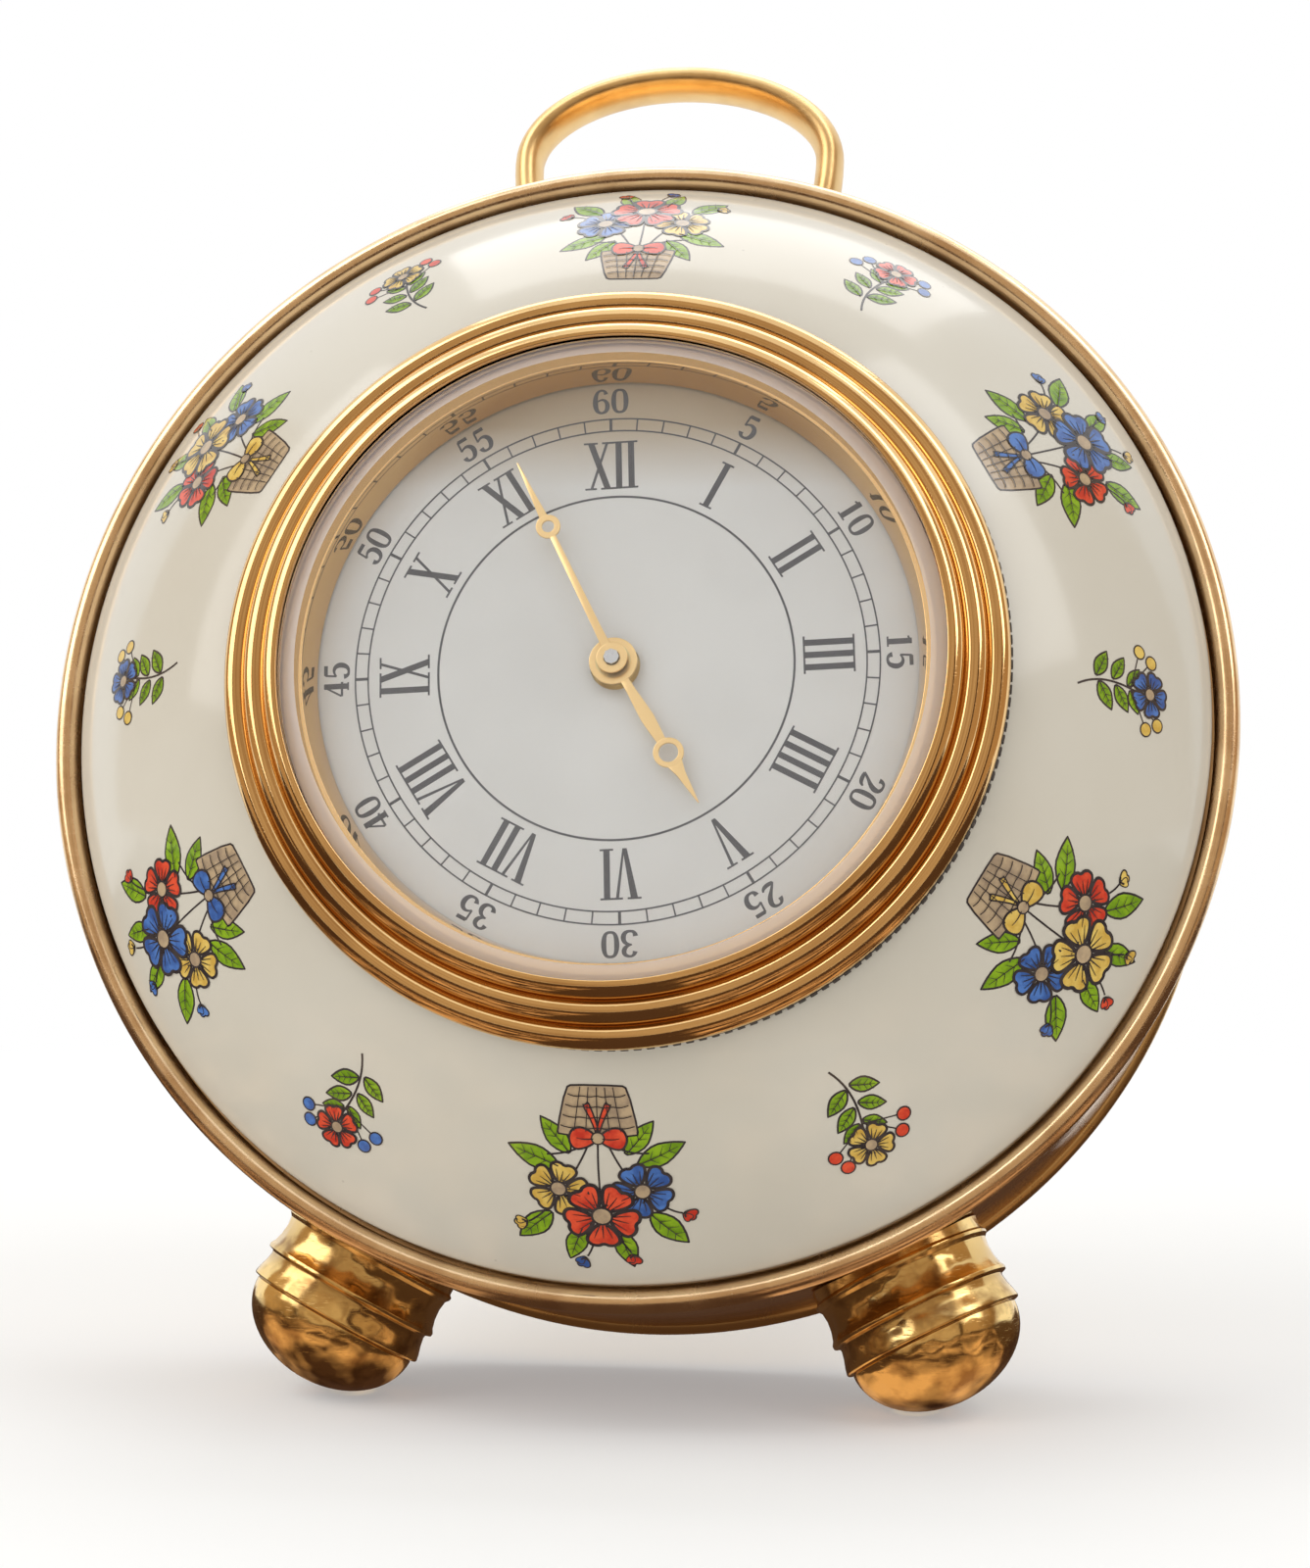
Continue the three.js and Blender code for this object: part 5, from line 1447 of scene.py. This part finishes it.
def studio_light(name, place, target, size, power, color=(1, 1, 1)):
    data = bpy.data.lights.new(name, "AREA")
    data.shape = "RECTANGLE"
    data.size, data.size_y = size
    data.energy = power
    data.color = color
    lamp = bpy.data.objects.new(name, data)
    lamp.location = place
    lamp.rotation_euler = (Vector(target) - Vector(place)).to_track_quat("-Z", "Y").to_euler()
    bpy.context.scene.collection.objects.link(lamp)


def background_rays(tree):
    """One for the rays that see the background: the camera's, and those off metal and through glass."""
    ray = node(tree, "LightPath").outputs
    seen = maths(tree, "MAXIMUM", ray["Is Camera Ray"], ray["Is Glossy Ray"])
    return maths(tree, "MAXIMUM", seen, ray["Is Transmission Ray"])


def card(name, place, target, size, color, second=None, scale=3.0):
    """A painted card round the clock, which only shows where polished surfaces mirror it."""
    made = plane(name)
    facing_target = (Vector(target) - Vector(place)).to_track_quat("Z", "Y").to_matrix().to_4x4()
    made.data.transform(Matrix.Translation(place) @ facing_target @ Matrix.Diagonal((*size, 1, 1)))
    finish = bpy.data.materials.new(name)
    finish.use_nodes = True
    tree = finish.node_tree
    tree.nodes.clear()
    shade = (*color, 1)
    if second:
        dabs = spread(tree, noise(tree, position(tree), scale, 3, 0.6), 0.44, 0.6)
        shade = blended(tree, dabs, shade, (*second, 1))
    glow = node(tree, "Emission", {"Color": shade})
    node(tree, "OutputMaterial", {"Surface": glow.outputs[0]})
    made.data.materials.append(finish)
    made.visible_camera = False
    made.visible_diffuse = False
    made.visible_transmission = False
    made.visible_shadow = False


aim = (0, 0, 0.045)
dark_brown = (0.06, 0.03, 0.02)
studio_light("window_left", (-0.75, -0.45, 0.75), aim, (0.8, 0.9), 5.0, (1, 0.99, 0.97))
studio_light("window_right", (0.65, -0.35, 0.85), aim, (0.35, 0.9), 2.6, (0.97, 0.985, 1))
studio_light("top", (0, 0.35, 0.9), aim, (0.8, 0.5), 2.6)
card("wall_card", (0, -1.7, 0.8), aim, (3.4, 1.8), (0.54, 0.42, 0.29), (0.38, 0.26, 0.16), 2.2)
card("right_card", (1.6, -0.5, 0.7), aim, (2.2, 1.8), (0.45, 0.30, 0.17))
card("left_card", (-1.6, -0.5, 0.7), aim, (2.2, 1.8), (0.47, 0.32, 0.18))
# Dark sheets on the floor that only the metal mirrors: painted dark reflections in the feet and lower bezel,
# mottled under each foot.
card("low_card", (0, -0.655, 0.0003), (0, -0.655, 1), (2.6, 1.41), (0.085, 0.048, 0.03))
for side in (-1, 1):
    spot = (0.047 * side, -0.072, 0.0004)
    card("foot_card", spot, (*spot[:2], 1), (0.07, 0.1), dark_brown, (0.80, 0.50, 0.28), 90)
card("dark_card_right", (0.9, -0.95, 0.35), aim, (0.22, 0.8), dark_brown)
card("dark_card_left", (-0.95, -0.9, 0.35), aim, (0.22, 0.8), dark_brown)

world = bpy.data.worlds.new("studio")
bpy.context.scene.world = world
world.use_nodes = True
sky = world.node_tree
sky = world.node_tree
sky.nodes.clear()
ambient = node(sky, "Background", {"Color": (1, 0.99, 0.97, 1), "Strength": 0.57})
white = node(sky, "Background", {"Color": (1, 1, 1, 1), "Strength": 1.0})
choice = node(sky, "MixShader", {"Fac": background_rays(sky), 1: ambient.outputs[0], 2: white.outputs[0]})
node(sky, "OutputWorld", {"Surface": choice.outputs[0]})

floor = plane("floor", 8)
pale = (0.95, 0.95, 0.94, 1)
paint, tree, surface = shader("floor", Base_Color=pale, Roughness=0.9, Specular_IOR_Level=0.0)
distance = node(tree, "VectorMath", {0: position(tree)}, operation="LENGTH").outputs["Value"]
far = spread(tree, distance, 0.06, 0.2, 0.3, 1.0)
far_and_seen = maths(tree, "MULTIPLY", far, background_rays(tree))
backdrop = node(tree, "Emission", {"Color": (1, 1, 1, 1)})
mixed = node(tree, "MixShader", {"Fac": far_and_seen, 1: surface.outputs[0], 2: backdrop.outputs[0]})
tree.links.new(mixed.outputs[0], tree.nodes["Material Output"].inputs["Surface"])
floor.data.materials.append(paint)

bpy.context.scene.view_settings.view_transform = "Standard"
